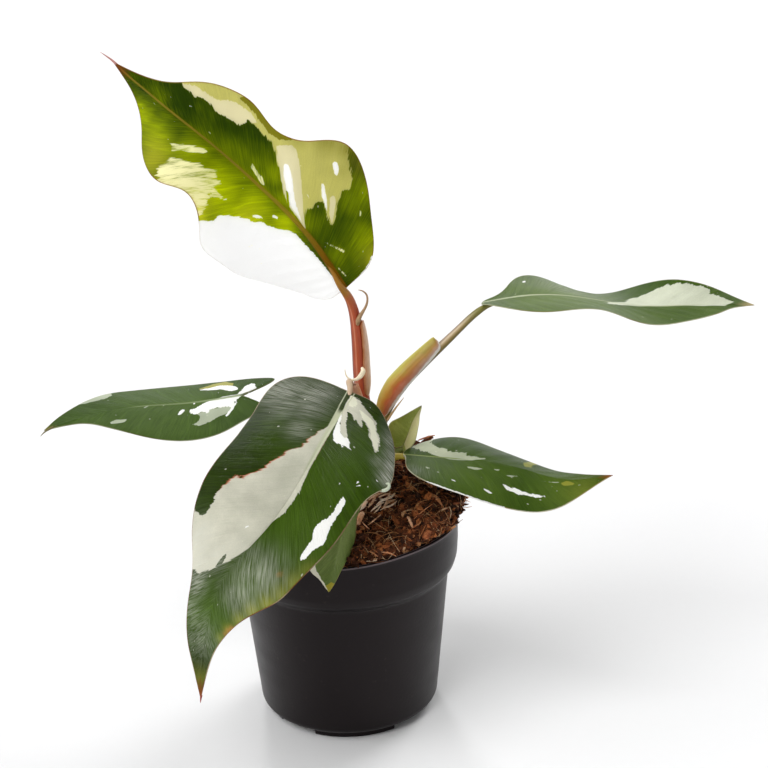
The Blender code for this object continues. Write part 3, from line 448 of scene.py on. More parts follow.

# Soft round spots on the flat leaf as (along, across, reach, strength) in millimetres: painted
# light where the green is lighter, painted sheen, where it is warmer, where a patch has a red
# border, where the blade is worn brown, and painted shade that dulls a patch.
SPOTS = {
    "lit": {
        "A": [(66, 26, 16, 1.0), (45, 22, 24, 1.0), (92, 14, 12, 0.7), (78, 8, 9, 0.7),
              (62, 12, 14, 0.9), (48, 8, 11, 0.9), (101, 12, 9, 0.7), (35, 5, 7, 0.9),
              (24, -25, 9, 0.5), (11, -17, 9, 0.55), (12, -4, 6, 0.35), (50, -6, 6, 0.5),
              (42, -3, 6, 0.6), (100, -2, 6, 0.3)],
        "B": [(40, -12, 24, 0.75), (62, -14, 22, 0.8), (108, -4, 16, 1.0), (88, -10, 14, 0.9),
              (110, 6, 10, 0.8), (20, -14, 16, 0.5)],
        "C": [(30, 0, 40, 0.7), (60, 10, 30, 0.5), (90, 10, 20, 0.4)],
        "D": [(30, 12, 22, 0.8), (60, 4, 14, 0.8), (15, 6, 12, 0.6)],
        "F": [(30, -4, 34, 0.9), (60, -6, 20, 0.7)],
        "G": [(24, 4, 14, 0.8)],
        "E": [(10, 4, 8, 1.0), (4, 4, 6, 1.0), (6, -4, 5, 0.6)],
    },
    "painted_sheen": {
        "B": [(84, -10, 9, 0.55), (93, -9, 8, 0.45), (80, -5, 6, 0.3), (86, 19, 6, 0.9),
              (93, 14, 6, 0.8), (87, 8, 5, 0.6), (100, 11, 5, 0.5), (110, 9, 5, 0.35),
              (9, -23, 4, 0.5), (15, -26, 4, 0.6), (21, -27, 4, 0.7), (27, -28, 4, 0.8),
              (23, -22, 3, 0.4), (80, 4, 6, 0.3), (2, 27, 11, 0.5), (4, 13, 9, 0.45),
              (13, 22, 8, 0.3), (13, 10, 7, 0.35), (26, 10, 5, 0.45), (117, 2, 9, 0.3)],
        "C": [(40, -14, 12, 0.25)],
        "D": [(8, 16, 5, 0.3)],
    },
    "warm": {
        "A": [(88, 18, 6, 0.5), (66, 24, 6, 0.7), (78, 24, 5, 0.6), (3, -16, 5, 0.4),
              (46, 12, 5, 0.3)],
        "B": [(72, -23, 3.5, 0.4), (78, -22.5, 4, 0.6), (84, -21.5, 4, 0.8), (90, -19.5, 4, 0.9),
              (96, -16, 3.5, 0.8), (102, -12.5, 3, 0.8), (108, -9.5, 2.5, 0.8),
              (113, -7, 2.2, 0.7), (134, 0, 5, 0.5)],
        "D": [(70, 6, 8, 0.3)],
    },
    "blush": {"B": [(30, 7, 7, 0.55), (43, 14, 8, 0.9), (52, 18, 7, 0.9), (60, 22, 5, 0.8)]},
    "scar": {"B": [(106.6, -10.4, 1.1, 0.9), (108.2, -9.4, 1.2, 0.95), (110, -8.2, 0.9, 0.7),
                   (78.6, -15.7, 0.8, 0.6), (78.2, -16.6, 0.5, 0.5)]},
    "painted_shade": {"A": [(47, -30, 5.5, 0.7), (40, -33, 5, 0.75), (33, -32, 5, 0.7), (54, -23, 4, 0.5),
                  (36, -25, 4, 0.3)]},
}

# Blade mesh: rows along, columns on each half, and its thickness and unevenness.
BLADE_ROWS = {"A": 190, "B": 200, "C": 170, "D": 150, "F": 150, "G": 90, "E": 60}
BLADE_COLUMNS = {"A": 46, "B": 48, "C": 40, "D": 38, "F": 38, "G": 24, "E": 18}
BLADE_CROWD = 1.4
HALF_THICK = 0.34
HALF_THIN = 0.14
RIM_BULGE = 0.12
GROOVE = 0.28
RIB = 1.15
RIB_SPREAD = 1.15
VEIN_PITCH = 7.0
QUILT = 0.10
WAVE = 0.35
WAVE_SIZE = 14.0
NOISE_STEP = 7.3

# Stalks
STALK_SIDES = 20
STALK_RINGS = 70
# Each stalk's tones at its root, its middle and its top, and its painted shade on the underside.
STALK_LOOKS = {
    "A": ((200, 120, 84), (184, 74, 28), (154, 88, 24), (196, 104, 58)),
    "B": ((216, 180, 162), (212, 176, 156), (200, 172, 142), (170, 136, 104)),
    "C": ((150, 128, 60), (166, 142, 100), (126, 122, 50), (112, 104, 28)),
    "D": ((206, 186, 120), (196, 164, 40), (190, 172, 70), (150, 130, 20)),
    "F": ((128, 136, 60), (124, 134, 70), (150, 142, 80), (92, 104, 44)),
    "G": ((150, 156, 90), (120, 134, 60), (110, 124, 50), (86, 100, 36)),
    "E": ((150, 156, 90), (132, 140, 60), (120, 132, 50), (96, 104, 36)),
}
# Tones round a stalk, its own colours with painted highlight and painted shade: the way in which
# they change, and the tones from its far side to its near.
STALK_TONE_AND_SHADING = {
    "A": ((1.0, 0.0, 0.0), [(0.0, (104, 54, 38)), (0.1, (152, 68, 44)), (0.2, (172, 76, 46)),
                            (0.29, (208, 134, 104)), (0.38, (182, 80, 42)), (0.6, (174, 62, 18)),
                            (1.0, (156, 48, 8))]),
    "C": ((-0.75, 0.0, 0.66), [(0.0, (80, 66, 16)), (0.2, (112, 94, 32)), (0.45, (146, 120, 64)),
                               (0.62, (184, 158, 114)), (0.8, (218, 196, 164)),
                               (0.92, (196, 172, 148)), (0.98, (146, 128, 114))]),
}

# Sheaths
SHEATH_WALL = 0.8
SHEATH_GAP = 0.4
SHEATH_SINK = 1.3
SHEATH_POINTS = 200
SHEATH_RINGS = 60
SHEATH_COLUMNS = 28
# How long and how wide on each half its pattern takes a sheath to be.
SHEATH_RUN = 40
SHEATH_HALF = 6
# Tones from a sheath's one edge to its other, and how those of sheath C change towards its top
# and its foot.
SHEATH_TONES = {
    "A": [(0.0, (186, 112, 62)), (0.06, (202, 138, 92)), (0.16, (226, 182, 150)),
          (0.4, (246, 220, 200)), (0.6, (236, 200, 172)), (0.9, (200, 148, 108))],
    "B": [(0.1, (222, 176, 146)), (0.45, (204, 142, 98)), (0.9, (214, 160, 130))],
    "C": [(0.1, (206, 196, 110)), (0.50, (208, 200, 92)), (0.62, (196, 150, 56)),
          (0.72, (192, 96, 48)), (0.84, (206, 132, 100)), (0.90, (246, 240, 232))],
}
UPPER_C = [(0.1, (206, 196, 110)), (0.45, (212, 204, 106)), (0.6, (178, 158, 66)),
           (0.72, (196, 150, 84)), (0.84, (206, 168, 148)), (0.90, (246, 240, 232))]
LOW_C = (186, 96, 40)

# Loose things on the mix
CRUMBS = 5200
FIBRES = 4200
FIBRE_POINTS = 7
CHIPS = 90
CHIP_CORNERS = 9
# Tones from dark to pale.
SOIL_TONES = [(0.0, (34, 17, 9)), (0.2, (84, 45, 24)), (0.45, (146, 80, 42)),
              (0.7, (188, 112, 62)), (0.88, (216, 156, 106)), (1.0, (240, 208, 174))]
FIBRE_TONES = [(0.0, (96, 52, 27)), (0.4, (164, 98, 54)), (0.75, (208, 150, 96)),
               (1.0, (238, 206, 166))]
SCRAP_TONES = [(0.0, (38, 21, 14)), (0.3, (152, 82, 46)), (0.55, (220, 142, 92)),
               (0.8, (250, 206, 170)), (1.0, (255, 238, 222))]

# Scraps: path, half width, half thickness, how blunt the ends are, and the tone from dark to
# pale.
SCRAP_RINGS = 14
SCRAP_SIDES = 10
SCRAPS = [
    ([(11.2, -24.8, 94.4), (13.8, -23.0, 95.8), (16.4, -21.6, 96.6)], 0.5, 0.3, 0.3, 0.82),
    ([(10.2, -23.0, 95.2), (12.2, -20.4, 96.6), (13.2, -17.8, 97.6)], 0.55, 0.3, 0.3, 0.76),
    ([(13.0, -20.0, 96.6), (15.8, -19.8, 97.0), (18.4, -20.6, 96.6)], 0.4, 0.25, 0.3, 0.9),
    ([(16.0, -23.4, 95.2), (18.2, -21.0, 96.4), (20.8, -19.6, 96.6)], 0.6, 0.3, 0.3, 0.78),
    ([(17.0, -17.4, 97.6), (19.4, -17.0, 97.6), (21.8, -18.0, 96.8)], 0.35, 0.22, 0.3, 0.7),
    ([(12.4, -25.8, 94.2), (14.0, -24.4, 95.0), (15.2, -22.4, 96.0)], 0.35, 0.22, 0.3, 0.9),
    ([(13.4, -22.4, 95.9), (16.2, -20.8, 97.2), (18.6, -19.3, 97.4), (20.6, -16.9, 98.0)],
     0.8, 0.35, 0.3, 0.86),
    ([(14.6, -25.0, 94.9), (17.0, -24.6, 95.8), (19.2, -23.0, 95.9), (21.2, -20.4, 96.4)],
     0.5, 0.3, 0.2, 0.84),
    ([(11.4, -15.6, 98.0), (14.9, -14.4, 99.0), (18.0, -13.2, 99.0)], 0.5, 0.3, 0.2, 0.6),
    ([(10.5, -19.5, 96.7), (13.5, -18.0, 98.0), (16.6, -16.3, 98.2)], 0.6, 0.3, 0.2, 0.66),
    ([(12.6, -20.8, 96.5), (15.4, -18.6, 97.8), (18.8, -17.0, 98.2)], 0.45, 0.3, 0.2, 0.8),
    ([(16.4, -22.8, 95.8), (18.0, -19.6, 97.5), (18.8, -16.2, 98.4)], 0.4, 0.25, 0.2, 0.72),
    ([(8.0, -25.6, 94.4), (7.2, -28.2, 93.9), (6.1, -31.1, 92.2)], 1.15, 0.7, 0.75, 0.68),
    ([(7.2, -24.5, 95.0), (8.6, -22.4, 96.0), (9.8, -20.4, 96.5)], 0.95, 0.45, 0.4, 0.84),
    ([(10.0, -31.6, 92.0), (12.5, -29.6, 93.0), (14.9, -27.1, 94.0)], 0.35, 0.25, 0.3, 0.74),
    ([(7.6, -29.6, 92.7), (9.0, -31.8, 92.0), (10.5, -33.4, 91.2)], 0.25, 0.2, 0.3, 0.6),
    ([(26.5, -28.9, 91.7), (30.6, -24.5, 93.4), (34.6, -19.6, 94.1)], 0.2, 0.16, 0.3, 0.5),
    ([(24.6, -25.4, 93.4), (25.8, -28.8, 92.2), (26.9, -32.4, 90.6)], 0.6, 0.4, 0.35, 0.62),
    ([(26.3, -32.4, 90.4), (28.2, -31.2, 91.0), (29.9, -29.4, 91.3)], 0.5, 0.35, 0.3, 0.42),
    ([(31.0, -33.6, 86.7), (32.0, -32.6, 87.7), (32.9, -31.4, 88.7)], 1.6, 1.1, 0.7, 0.34),
    ([(32.4, -17.0, 95.5), (34.4, -15.4, 95.9), (36.4, -16.4, 95.1), (38.4, -19.2, 93.4)],
     0.75, 0.4, 0.3, 0.52),
    ([(33.4, -14.0, 96.1), (36.0, -15.0, 95.5), (38.0, -17.0, 94.2)], 0.5, 0.35, 0.3, 0.6),
    ([(33.0, -8.4, 97.7), (34.4, -9.2, 97.5), (35.6, -10.2, 96.8)], 0.9, 0.5, 0.5, 0.44),
    ([(38.0, -21.6, 92.5), (40.0, -20.1, 92.5), (41.8, -18.4, 91.8)], 0.45, 0.25, 0.3, 0.66),
    ([(41.4, -21.8, 86.5), (42.6, -19.8, 86.7), (43.4, -17.8, 87.1)], 0.8, 0.4, 0.5, 0.4),
    ([(14.7, -42.2, 85.8), (17.2, -41.4, 85.1), (20.2, -40.1, 82.9)], 0.45, 0.3, 0.3, 0.56),
    ([(10.0, -42.2, 86.4), (12.0, -43.0, 85.7), (13.4, -42.4, 84.1)], 0.3, 0.2, 0.3, 0.58),
    ([(11.0, -41.2, 86.9), (13.2, -42.4, 86.1), (15.0, -42.2, 83.9)], 0.25, 0.2, 0.3, 0.46),
    ([(43.0, -9.0, 91.8), (46.0, -7.0, 92.2), (48.4, -6.4, 91.0)], 0.3, 0.2, 0.2, 0.62),
    ([(44.0, -6.0, 92.0), (47.0, -5.6, 91.2), (49.6, -5.4, 89.6)], 0.22, 0.16, 0.2, 0.6),
    ([(45.4, -8.6, 90.6), (47.8, -7.4, 89.8), (50.0, -7.6, 88.8)], 0.2, 0.14, 0.2, 0.66),
    ([(45.0, -4.0, 91.6), (47.8, -3.6, 92.0), (49.4, -4.6, 90.8)], 0.3, 0.2, 0.2, 0.56),
    ([(42.0, -6.0, 93.2), (44.4, -8.0, 92.4), (46.2, -10.4, 90.6)], 0.45, 0.3, 0.3, 0.52),
    ([(46.4, -11.4, 88.4), (48.6, -10.4, 88.0), (50.4, -10.8, 88.6)], 0.18, 0.14, 0.2, 0.6),
    ([(26.8, 9.4, 101.0), (28.6, 10.4, 104.0), (30.2, 11.6, 107.2)], 2.3, 1.2, 0.6, 0.06),
    ([(28.8, 11.6, 103.0), (32.2, 13.2, 105.6), (36.4, 15.4, 107.0)], 1.2, 0.7, 0.4, 0.16),
    ([(30.4, 12.0, 107.2), (33.4, 13.8, 107.5), (37.2, 15.8, 107.6)], 0.7, 0.3, 0.3, 0.34),
    ([(20.2, 9.0, 114.6), (21.2, 9.0, 115.6), (22.4, 9.0, 115.2)], 0.6, 0.4, 0.5, 0.12),
    ([(20.4, 8.6, 113.4), (21.4, 8.6, 114.2), (22.4, 8.6, 113.8)], 0.5, 0.35, 0.5, 0.8),
]

# Thin loose ends: name, slot, path, radii and colour.
THREADS = [
    ("Hook", "sheath", [(8.4, -1.2, 161.4), (8.7, -1.7, 163.2), (9.6, -1.8, 165.2),
                        (11.2, -1.5, 167.6), (12.4, -1.5, 170.8), (12.0, -1.5, 173.6),
                        (10.5, -1.5, 174.9), (9.0, -1.5, 175.3)],
     [0.7, 1.0, 0.8, 0.55, 0.42, 0.36, 0.28, 0.1], (176, 142, 104)),
    ("Thread_A", "leaf_young", [(-73.5, 0, 261.5), (-76.3, 0, 264.6), (-78.3, 0, 266.2),
                                (-80.3, 0, 267.7)],
     [0.6, 0.4, 0.25, 0.08], (206, 148, 140)),
    ("Thread_F", "leaf", [(-114.5, 21.2, 113.8), (-116.6, 19.8, 113.2), (-118.2, 19, 112.3),
                          (-119.4, 19, 111.0)], [0.5, 0.35, 0.25, 0.1], (120, 112, 62)),
    ("Lip_B", "sheath", [(3.1, -6.4, 145.4), (3.6, -6.6, 142.7), (5.2, -7.0, 141.4),
                         (7.1, -6.8, 141.3), (8.9, -5.6, 142.2), (9.9, -4.6, 143.9),
                         (9.4, -3.6, 144.8)],
     [0.12, 0.3, 0.4, 0.65, 0.95, 0.95, 0.45], (244, 232, 204)),
    ("Curl_B", "leaf", [(14.2, -44.6, 112.6), (15.6, -45.2, 112.4), (17.2, -45.4, 112.7),
                        (18.4, -45.0, 113.8), (18.2, -44.6, 114.8), (17.2, -44.6, 114.8)],
     [0.35, 0.6, 0.7, 0.6, 0.5, 0.2], (206, 214, 190)),
    ("Thread_B", "leaf", [(-52.7, -72.2, 44.6), (-53.0, -72.0, 43.0), (-53.2, -71.9, 41.4)],
     [0.45, 0.3, 0.1], (170, 62, 48)),
    ("Strip_C", "sheath", [(18.6, -2.6, 122.4), (21.6, -2.2, 126.8), (25.2, -1.6, 131.2)],
     [0.5, 0.4, 0.12], (206, 168, 120)),
    ("Scrap_E", "sheath", [(19.6, 9.0, 114.2), (20.3, 9.0, 116.4), (21.0, 9.0, 117.2),
                           (21.8, 9.0, 117.0)], [0.4, 0.3, 0.22, 0.1], (70, 44, 32)),
]
THREAD_RINGS = 40
THREAD_SIDES = 12

# The camera, the studio's lights as (name, where it stands, width in degrees, strength), and the
# floor.
CAMERA_AT = (0.0177, -0.6843, 0.4083)
CAMERA_PITCH = 21.67
CAMERA_ROLL = -1.76
LENS = 90.0
SENSOR = 36.0
SUNS = [
    ("back", (0.5, 0.62, 0.6), 26, 1.35),
    ("glare", (-0.12, 0.745, 0.655), 9, 0.6),
    ("front", (-0.36, -0.45, 0.82), 40, 1.95),
    ("left", (-0.92, -0.12, 0.36), 44, 0.9),
]
FLOOR_REACH = 6.0
FLOOR_HEIGHT = -0.00005


def unit(vector):
    vector = np.asarray(vector, float)
    return vector / np.linalg.norm(vector, axis=-1, keepdims=True)


def through(places, values, at):
    """The natural cubic spline through values at places, read at the given places."""
    places = np.asarray(places, float)
    values = np.asarray(values, float)
    at = np.asarray(at, float)
    flat = values.ndim == 1
    if flat:
        values = values[:, None]
    count = len(places)
    step = np.diff(places)
    left = np.eye(count)
    right = np.zeros((count, values.shape[1]))
    for i in range(1, count - 1):
        left[i, i - 1:i + 2] = step[i - 1], 2 * (step[i - 1] + step[i]), step[i]
        rise = (values[i + 1] - values[i]) / step[i] - (values[i] - values[i - 1]) / step[i - 1]
        right[i] = 6 * rise
    bend = np.linalg.solve(left, right)
    i = np.clip(np.searchsorted(places, at) - 1, 0, count - 2)
    a = ((places[i + 1] - at) / step[i])[..., None]
    b = ((at - places[i]) / step[i])[..., None]
    size = (step[i] ** 2 / 6)[..., None]
    result = a * values[i] + b * values[i + 1]
    result = result + ((a ** 3 - a) * bend[i] + (b ** 3 - b) * bend[i + 1]) * size
    return result[..., 0] if flat else result


def smooth_path(points, count):
    """Evenly spaced points along the spline through the given ones, and their shares."""
    points = np.asarray(points, float)
    chord = np.concatenate([[0], np.cumsum(np.linalg.norm(np.diff(points, axis=0), axis=1))])
    places = np.linspace(0, chord[-1], SPLINE_POINTS)
    fine = through(chord, points, places)
    run = np.concatenate([[0], np.cumsum(np.linalg.norm(np.diff(fine, axis=0), axis=1))])
    share = np.linspace(0, 1, count)
    even = np.stack([np.interp(share * run[-1], run, fine[:, i]) for i in range(3)], axis=1)
    marks = np.interp(chord, places, run) / run[-1]
    return even, share, marks


def path_frames(points, hint):
    """Tangent, a side direction carried along from the hint, and the third direction."""
    tangent = unit(np.gradient(points, axis=0))
    sides = []
    side = np.asarray(hint, float)
    for t in tangent:
        side = unit(side - side.dot(t) * t)
        sides.append(side)
    sides = np.array(sides)
    return tangent, sides, np.cross(tangent, sides)


class Leaf:
    """A leaf's surface, from its midrib, its facing and the shape of its two halves."""

    def __init__(self, spec):
        self.points, self.shares, self.marks = smooth_path(spec["midrib"], MIDRIB_POINTS)
        run = np.linalg.norm(np.diff(self.points, axis=0), axis=1)
        self.length = float(run.sum())
        self.facing = np.array(spec["facing"], float)
        self.halves = {-1: spec["left"], 1: spec["right"]}
        self.outlines = {side: self.outline(half) for side, half in self.halves.items()}

    def outline(self, half):
        """Margin points as (along, across) in millimetres, from base to tip."""
        along = [0, -half["lobe"], *half.get("at", WIDTHS_AT), 1]
        across = [0, half["lobe_width"], *half["widths"], 0]
        return np.stack([np.array(along) * self.length, across], axis=1)

    def midrib(self, along):
        start = unit(self.points[3] - self.points[0])
        share = np.clip(along / self.length, 0, 1)
        place = np.stack([np.interp(share, self.shares, self.points[:, i]) for i in range(3)], -1)
        return place + np.minimum(along, 0)[..., None] * start

    def frame(self, along):
        """The midrib's direction, the upper face's normal and the way to the right half."""
        step = self.length * 0.004
        inside = np.clip(along, step, self.length - step)
        ahead = unit(self.midrib(inside + step) - self.midrib(inside - step))
        share = np.clip(along / self.length, 0, 1)
        up = through(np.linspace(0, 1, len(self.facing)), self.facing, share)
        up = unit(up - (up * ahead).sum(-1, keepdims=True) * ahead)
        return ahead, up, np.cross(ahead, up)

    def surface(self, side, along, across):
        """Where the flat leaf's point (along, across) comes to lie."""
        half = self.halves[side]
        share = np.clip(along / self.length, 0, 1)
        lift = np.radians(through(self.marks, half["lift"], share))
        curl = np.radians(through(self.marks, half["curl"], share))
        bend = curl / max(half["widths"])
        bend = np.where(np.abs(bend) < 1e-5, 1e-5, bend)
        out = (np.sin(lift + bend * across) - np.sin(lift)) / bend
        rise = (np.cos(lift) - np.cos(lift + bend * across)) / bend
        up, right = self.frame(along)[1:]
        return self.midrib(along) + side * out[..., None] * right + rise[..., None] * up

    def vein_point(self, side, station, share):
        """The flat place on the vein that leaves the midrib at a station, 0 base to 1 tip."""
        outline = self.outlines[side]
        chord = np.diff(outline * (2.0 / self.length, 1.0 / outline[:, 1].max()), axis=0)
        run = np.concatenate([[0], np.cumsum(np.linalg.norm(chord, axis=1))])
        margin = through(run / run[-1], outline, station)
        start = self.length * station ** VEIN_START
        along = start + (margin[..., 0] - start) * share ** VEIN_SWEEP
        return along, np.maximum(margin[..., 1], 0) * share


def linear(colour):
    """A 0-255 sRGB colour as the linear values that a shader takes."""
    parts = [c / 255.0 for c in colour]
    return tuple(c / 12.92 if c <= 0.04045 else ((c + 0.055) / 1.055) ** 2.4 for c in parts)


class Paint:
    """A material under construction: each call adds a node and returns its output."""

    def __init__(self, name):
        self.material = bpy.data.materials.new(name)
        self.material.use_nodes = True
        self.nodes = self.material.node_tree.nodes
        self.links = self.material.node_tree.links
        self.shader = self.nodes["Principled BSDF"]
        self.end = self.nodes["Material Output"]

    def feed(self, socket, value):
        if isinstance(value, bpy.types.NodeSocket):
            self.links.new(value, socket)
        elif isinstance(value, tuple) and socket.type == "RGBA":
            socket.default_value = (*value, 1.0)
        else:
            socket.default_value = value

    def add(self, kind, inputs, output=0, **settings):
        node = self.nodes.new(kind)
        for key, value in settings.items():
            setattr(node, key, value)
        for key, value in inputs.items():
            self.feed(node.inputs[key], value)
        return node.outputs[output]

    def calc(self, operation, a, b=0.0, clamp=False):
        return self.add("ShaderNodeMath", {0: a, 1: b}, operation=operation, use_clamp=clamp)

    def times(self, a, b):
        return self.calc("MULTIPLY", a, b)

    def rest(self, value):
        """1 minus the value."""
        return self.calc("SUBTRACT", 1.0, value)

    def total(self, start, *parts, clamp=False):
        """The start plus each (value, weight) product, kept within 0 to 1 with clamp."""
        for value, weight in parts[:-1]:
            start = self.calc("ADD", start, self.times(value, weight))
        value, weight = parts[-1]
        return self.calc("ADD", start, self.times(value, weight), clamp)

    def read(self, name, output="Fac"):
        return self.add("ShaderNodeAttribute", {}, output, attribute_name=name)

    def part(self, vector, axis):
        return self.add("ShaderNodeSeparateXYZ", {0: vector}, axis)

    def place(self):
        """Where a point is on its own piece, in millimetres."""
        return self.stretch(self.add("ShaderNodeTexCoord", {}, 3), (1000.0, 1000.0, 1000.0))

    def stretch(self, vector, scale):
        return self.add("ShaderNodeVectorMath", {0: vector, 1: scale}, operation="MULTIPLY")

    def shade(self, colour, level):
        """The colour times a level."""
        return self.add("ShaderNodeVectorMath", {0: colour, "Scale": level}, operation="SCALE")

    def grain(self, vector, scale, reach=1.0, detail=2.0):
        """Noise of about -reach to reach in a space stretched by scale."""
        noise_at = self.stretch(vector, scale)
        raw = self.add("ShaderNodeTexNoise", {"Vector": noise_at, "Scale": 1.0, "Detail": detail})
        return self.times(self.calc("SUBTRACT", raw, 0.5), 4.0 * reach)

    def mix(self, share, a, b):
        return self.add("ShaderNodeMix", {0: share, 6: a, 7: b}, 2, data_type="RGBA")

    def rise(self, value, low, high):
        """0 below low, 1 above high and smooth between."""
        inputs = {0: value, 1: low, 2: high, 3: 0.0, 4: 1.0}
        return self.add("ShaderNodeMapRange", inputs, interpolation_type="SMOOTHSTEP")

    def near(self, value, centre, reach):
        """1 at the centre and 0 further than the reach from it."""
        away = self.calc("ABSOLUTE", self.calc("SUBTRACT", value, centre))
        return self.rest(self.rise(away, 0.0, reach))

    def ramp(self, value, stops):
        node = self.nodes.new("ShaderNodeValToRGB")
        self.feed(node.inputs[0], value)
        stones = node.color_ramp.elements
        while len(stones) < len(stops):
            stones.new(0.5)
        for stone, (place, colour) in zip(stones, stops):
            stone.position = place
            stone.color = (*linear(colour), 1.0)
        return node.outputs[0]

    def bump(self, height, strength, distance):
        inputs = {"Height": height, "Strength": strength, "Distance": distance}
        self.feed(self.shader.inputs["Normal"], self.add("ShaderNodeBump", inputs))

    def set(self, **values):
        for key, value in values.items():
            self.feed(self.shader.inputs[key.replace("_", " ")], value)

    def glow(self, colour, share):
        """Lets a share of the light pass through, tinted by the colour."""
        through_it = self.add("ShaderNodeBsdfTranslucent", {"Color": colour})
        inputs = {0: share, 1: self.shader.outputs[0], 2: through_it}
        self.links.new(self.add("ShaderNodeMixShader", inputs), self.end.inputs[0])


def leaf_material(letter):
    """A blade's greens and patches, streaked along its side veins, thin enough to glow."""
    tones = {key: linear(tone) for key, tone in {**COMMON_LOOK, **LOOKS[letter]}.items()}
    gloss, roughness, mottling, glow = SURFACES[letter]
    paint = Paint("leaf " + letter)
    vein = paint.read("vein", "Vector")
    flat = paint.read("flat", "Vector")
    station = paint.part(vein, 0)
    coarse = paint.grain(vein, (0.6, 0.10, 1.0), 0.6)
    fine = paint.grain(vein, (2.4, 0.2, 1.0), 0.4, 3.0)
    from_rib = paint.rise(paint.calc("ABSOLUTE", paint.part(flat, 1)), 0.3, 3.5)
    jag = paint.times(paint.calc("ADD", coarse, fine), from_rib)
    streak = paint.grain(vein, (2.6, 0.09, 1.0), 1.0, 4.0)
    thread = paint.grain(vein, (7.0, 0.22, 1.0), 1.0, 3.0)
    cloud = paint.grain(flat, (0.05, 0.07, 1.0), 1.0)
    broad = paint.grain(flat, (0.12, 0.12, 1.0), 1.0)
    grit = paint.grain(flat, (2.6, 2.6, 1.0), 1.0, 3.0)

    # The green, lighter under painted light and over each side vein, and the pale tone.
    lit = paint.total(paint.read("lit"), (cloud, 0.18), (streak, 0.14), clamp=True)
    veins = paint.total(paint.calc("DIVIDE", station, VEIN_PITCH), (cloud, 0.2))
    lateral = paint.near(paint.calc("FRACT", veins), 0.5, 0.08)
    level = paint.total(1.0, (streak, 0.10), (thread, 0.10), (grit, 0.08), (lateral, 0.15))
    green = paint.shade(paint.mix(lit, tones["dark"], tones["light"]), level)
    pale_level = paint.total(0.97, (streak, 0.09), (thread, 0.05), (grit, 0.06))
    mottle = paint.total(paint.times(streak, 0.35), (broad, 0.35), (thread, 0.2))
    mottle = paint.times(paint.calc("ADD", mottle, 0.5, clamp=True), mottling)
    pale = paint.shade(paint.mix(mottle, tones["pale"], green), pale_level)

    # The patches, frayed along the side veins.
    masks = {}
    for tone in TONES:
        edge = paint.calc("ADD", paint.read(tone), jag)
        masks[tone] = paint.total(0.5, (edge, 5.0), clamp=True)
    speckled = paint.rise(paint.total(paint.times(thread, 0.6), (coarse, 0.8)), -0.6, 0.1)
    masks["cream"] = paint.times(masks["cream"], speckled)

    # Scattered dots.
    cells = {"Vector": paint.stretch(vein, (0.45, 0.35, 1.0)), "Scale": 1.0}
    cell = paint.add("ShaderNodeTexVoronoi", cells)
    chance = paint.add("ShaderNodeTexVoronoi", cells, 1)
    picked = paint.rise(paint.part(chance, 0), 0.87, 0.88)
    size = paint.total(0.05, (paint.part(chance, 1), 0.12))
    dot = paint.times(paint.rise(paint.calc("SUBTRACT", size, cell), 0.0, 0.03), picked)
    dot = paint.times(dot, 0.6)

    # The midrib, the worn rim and the soft spots, among them painted sheen and painted shade.
    line = paint.rise(paint.total(paint.read("line"), (streak, 0.05)), 0.2, 0.8)
    line = paint.times(line, 0.9)
    rib = paint.mix(paint.rise(paint.calc("DIVIDE", station, SPANS[letter]), 0.3, 0.62),
                    tones["rib"], tones["rib_far"])
    worn = paint.rise(paint.total(paint.read("rim"), (streak, 0.10)), 0.05, 0.36)
    edged = paint.times(paint.rest(worn), 0.8)
    edged = paint.times(edged, paint.rest(paint.times(masks["white"], 0.85)))
    rim = paint.mix(paint.rise(cloud, -0.3, 0.5), tones["rim"], tones["edge"])
    border = paint.calc("ABSOLUTE", paint.calc("ADD", paint.read("pale"), jag))
    blush = paint.times(paint.rest(paint.rise(border, 0.05, 0.32)), paint.read("blush"))

    def spot(name, start, *parts):
        """A soft spot's strength, broken up by noise."""
        return paint.times(paint.total(start, *parts, clamp=True), paint.read(name))

    # Painted sheen: a silvery highlight laid into the colour.
    painted_sheen = spot("painted_sheen", 0.5, (streak, 0.55), (thread, 0.5))
    warm = spot("warm", 0.8, (cloud, 0.3))
    # Painted shade: an olive dulling where the curled margin shades the patch.
    painted_shade = spot("painted_shade", 0.8, (streak, 0.3))
    scar = spot("scar", 0.9, (grit, 0.4))
    # Laid over the green: the folds' tone is a painted highlight, the sheen and olive dulling are
    # painted light and shade.
    over = [(warm, tones["warm"]), (masks["pale"], pale), (blush, tones["blush"]),
            (masks["fold_highlight"], tones["fold_highlight"]), (painted_shade, tones["yellow"]),
            (masks["cream"], tones["cream"]), (masks["white"], tones["white"]),
            (masks["yellow"], tones["yellow"]), (masks["green"], None),
            (painted_sheen, tones["painted_sheen"]), (dot, tones["cream"]), (line, rib), (edged, rim),
            (paint.read("tip"), tones["tip"]), (scar, tones["scar"])]

    def layered(base):
        """The tones laid over the green one by one; None brings the green back."""
        mixed = base
        for share, tone in over:
            mixed = paint.mix(share, mixed, base if tone is None else tone)
        return mixed

    passed = paint.shade(paint.mix(lit, tones["deep"], tones["bright"]), level)
    height = paint.total(paint.times(streak, 0.5), (thread, 0.35), (grit, 0.2), (lateral, 0.5))
    paint.bump(height, 0.5, 0.00022)
    paint.set(Base_Color=layered(green), Roughness=paint.total(roughness, (thread, 0.04)),
              Specular_IOR_Level=gloss, Specular_Tint=(1.0, 1.0, 0.7))
    paint.glow(layered(passed), glow)
    return paint.material


def add_object(name, data):
    thing = bpy.data.objects.new(name, data)
    bpy.context.scene.collection.objects.link(thing)
    return thing


def solid_mesh(name, points, faces):
    """A mesh from points in millimetres, its faces turned outward."""
    mesh = bpy.data.meshes.new(name)
    mesh.from_pydata((np.asarray(points, float) * MM).tolist(), [], faces)
    build = bmesh.new()
    build.from_mesh(mesh)
    bmesh.ops.recalc_face_normals(build, faces=build.faces)
    build.to_mesh(mesh)
    build.free()
    return mesh


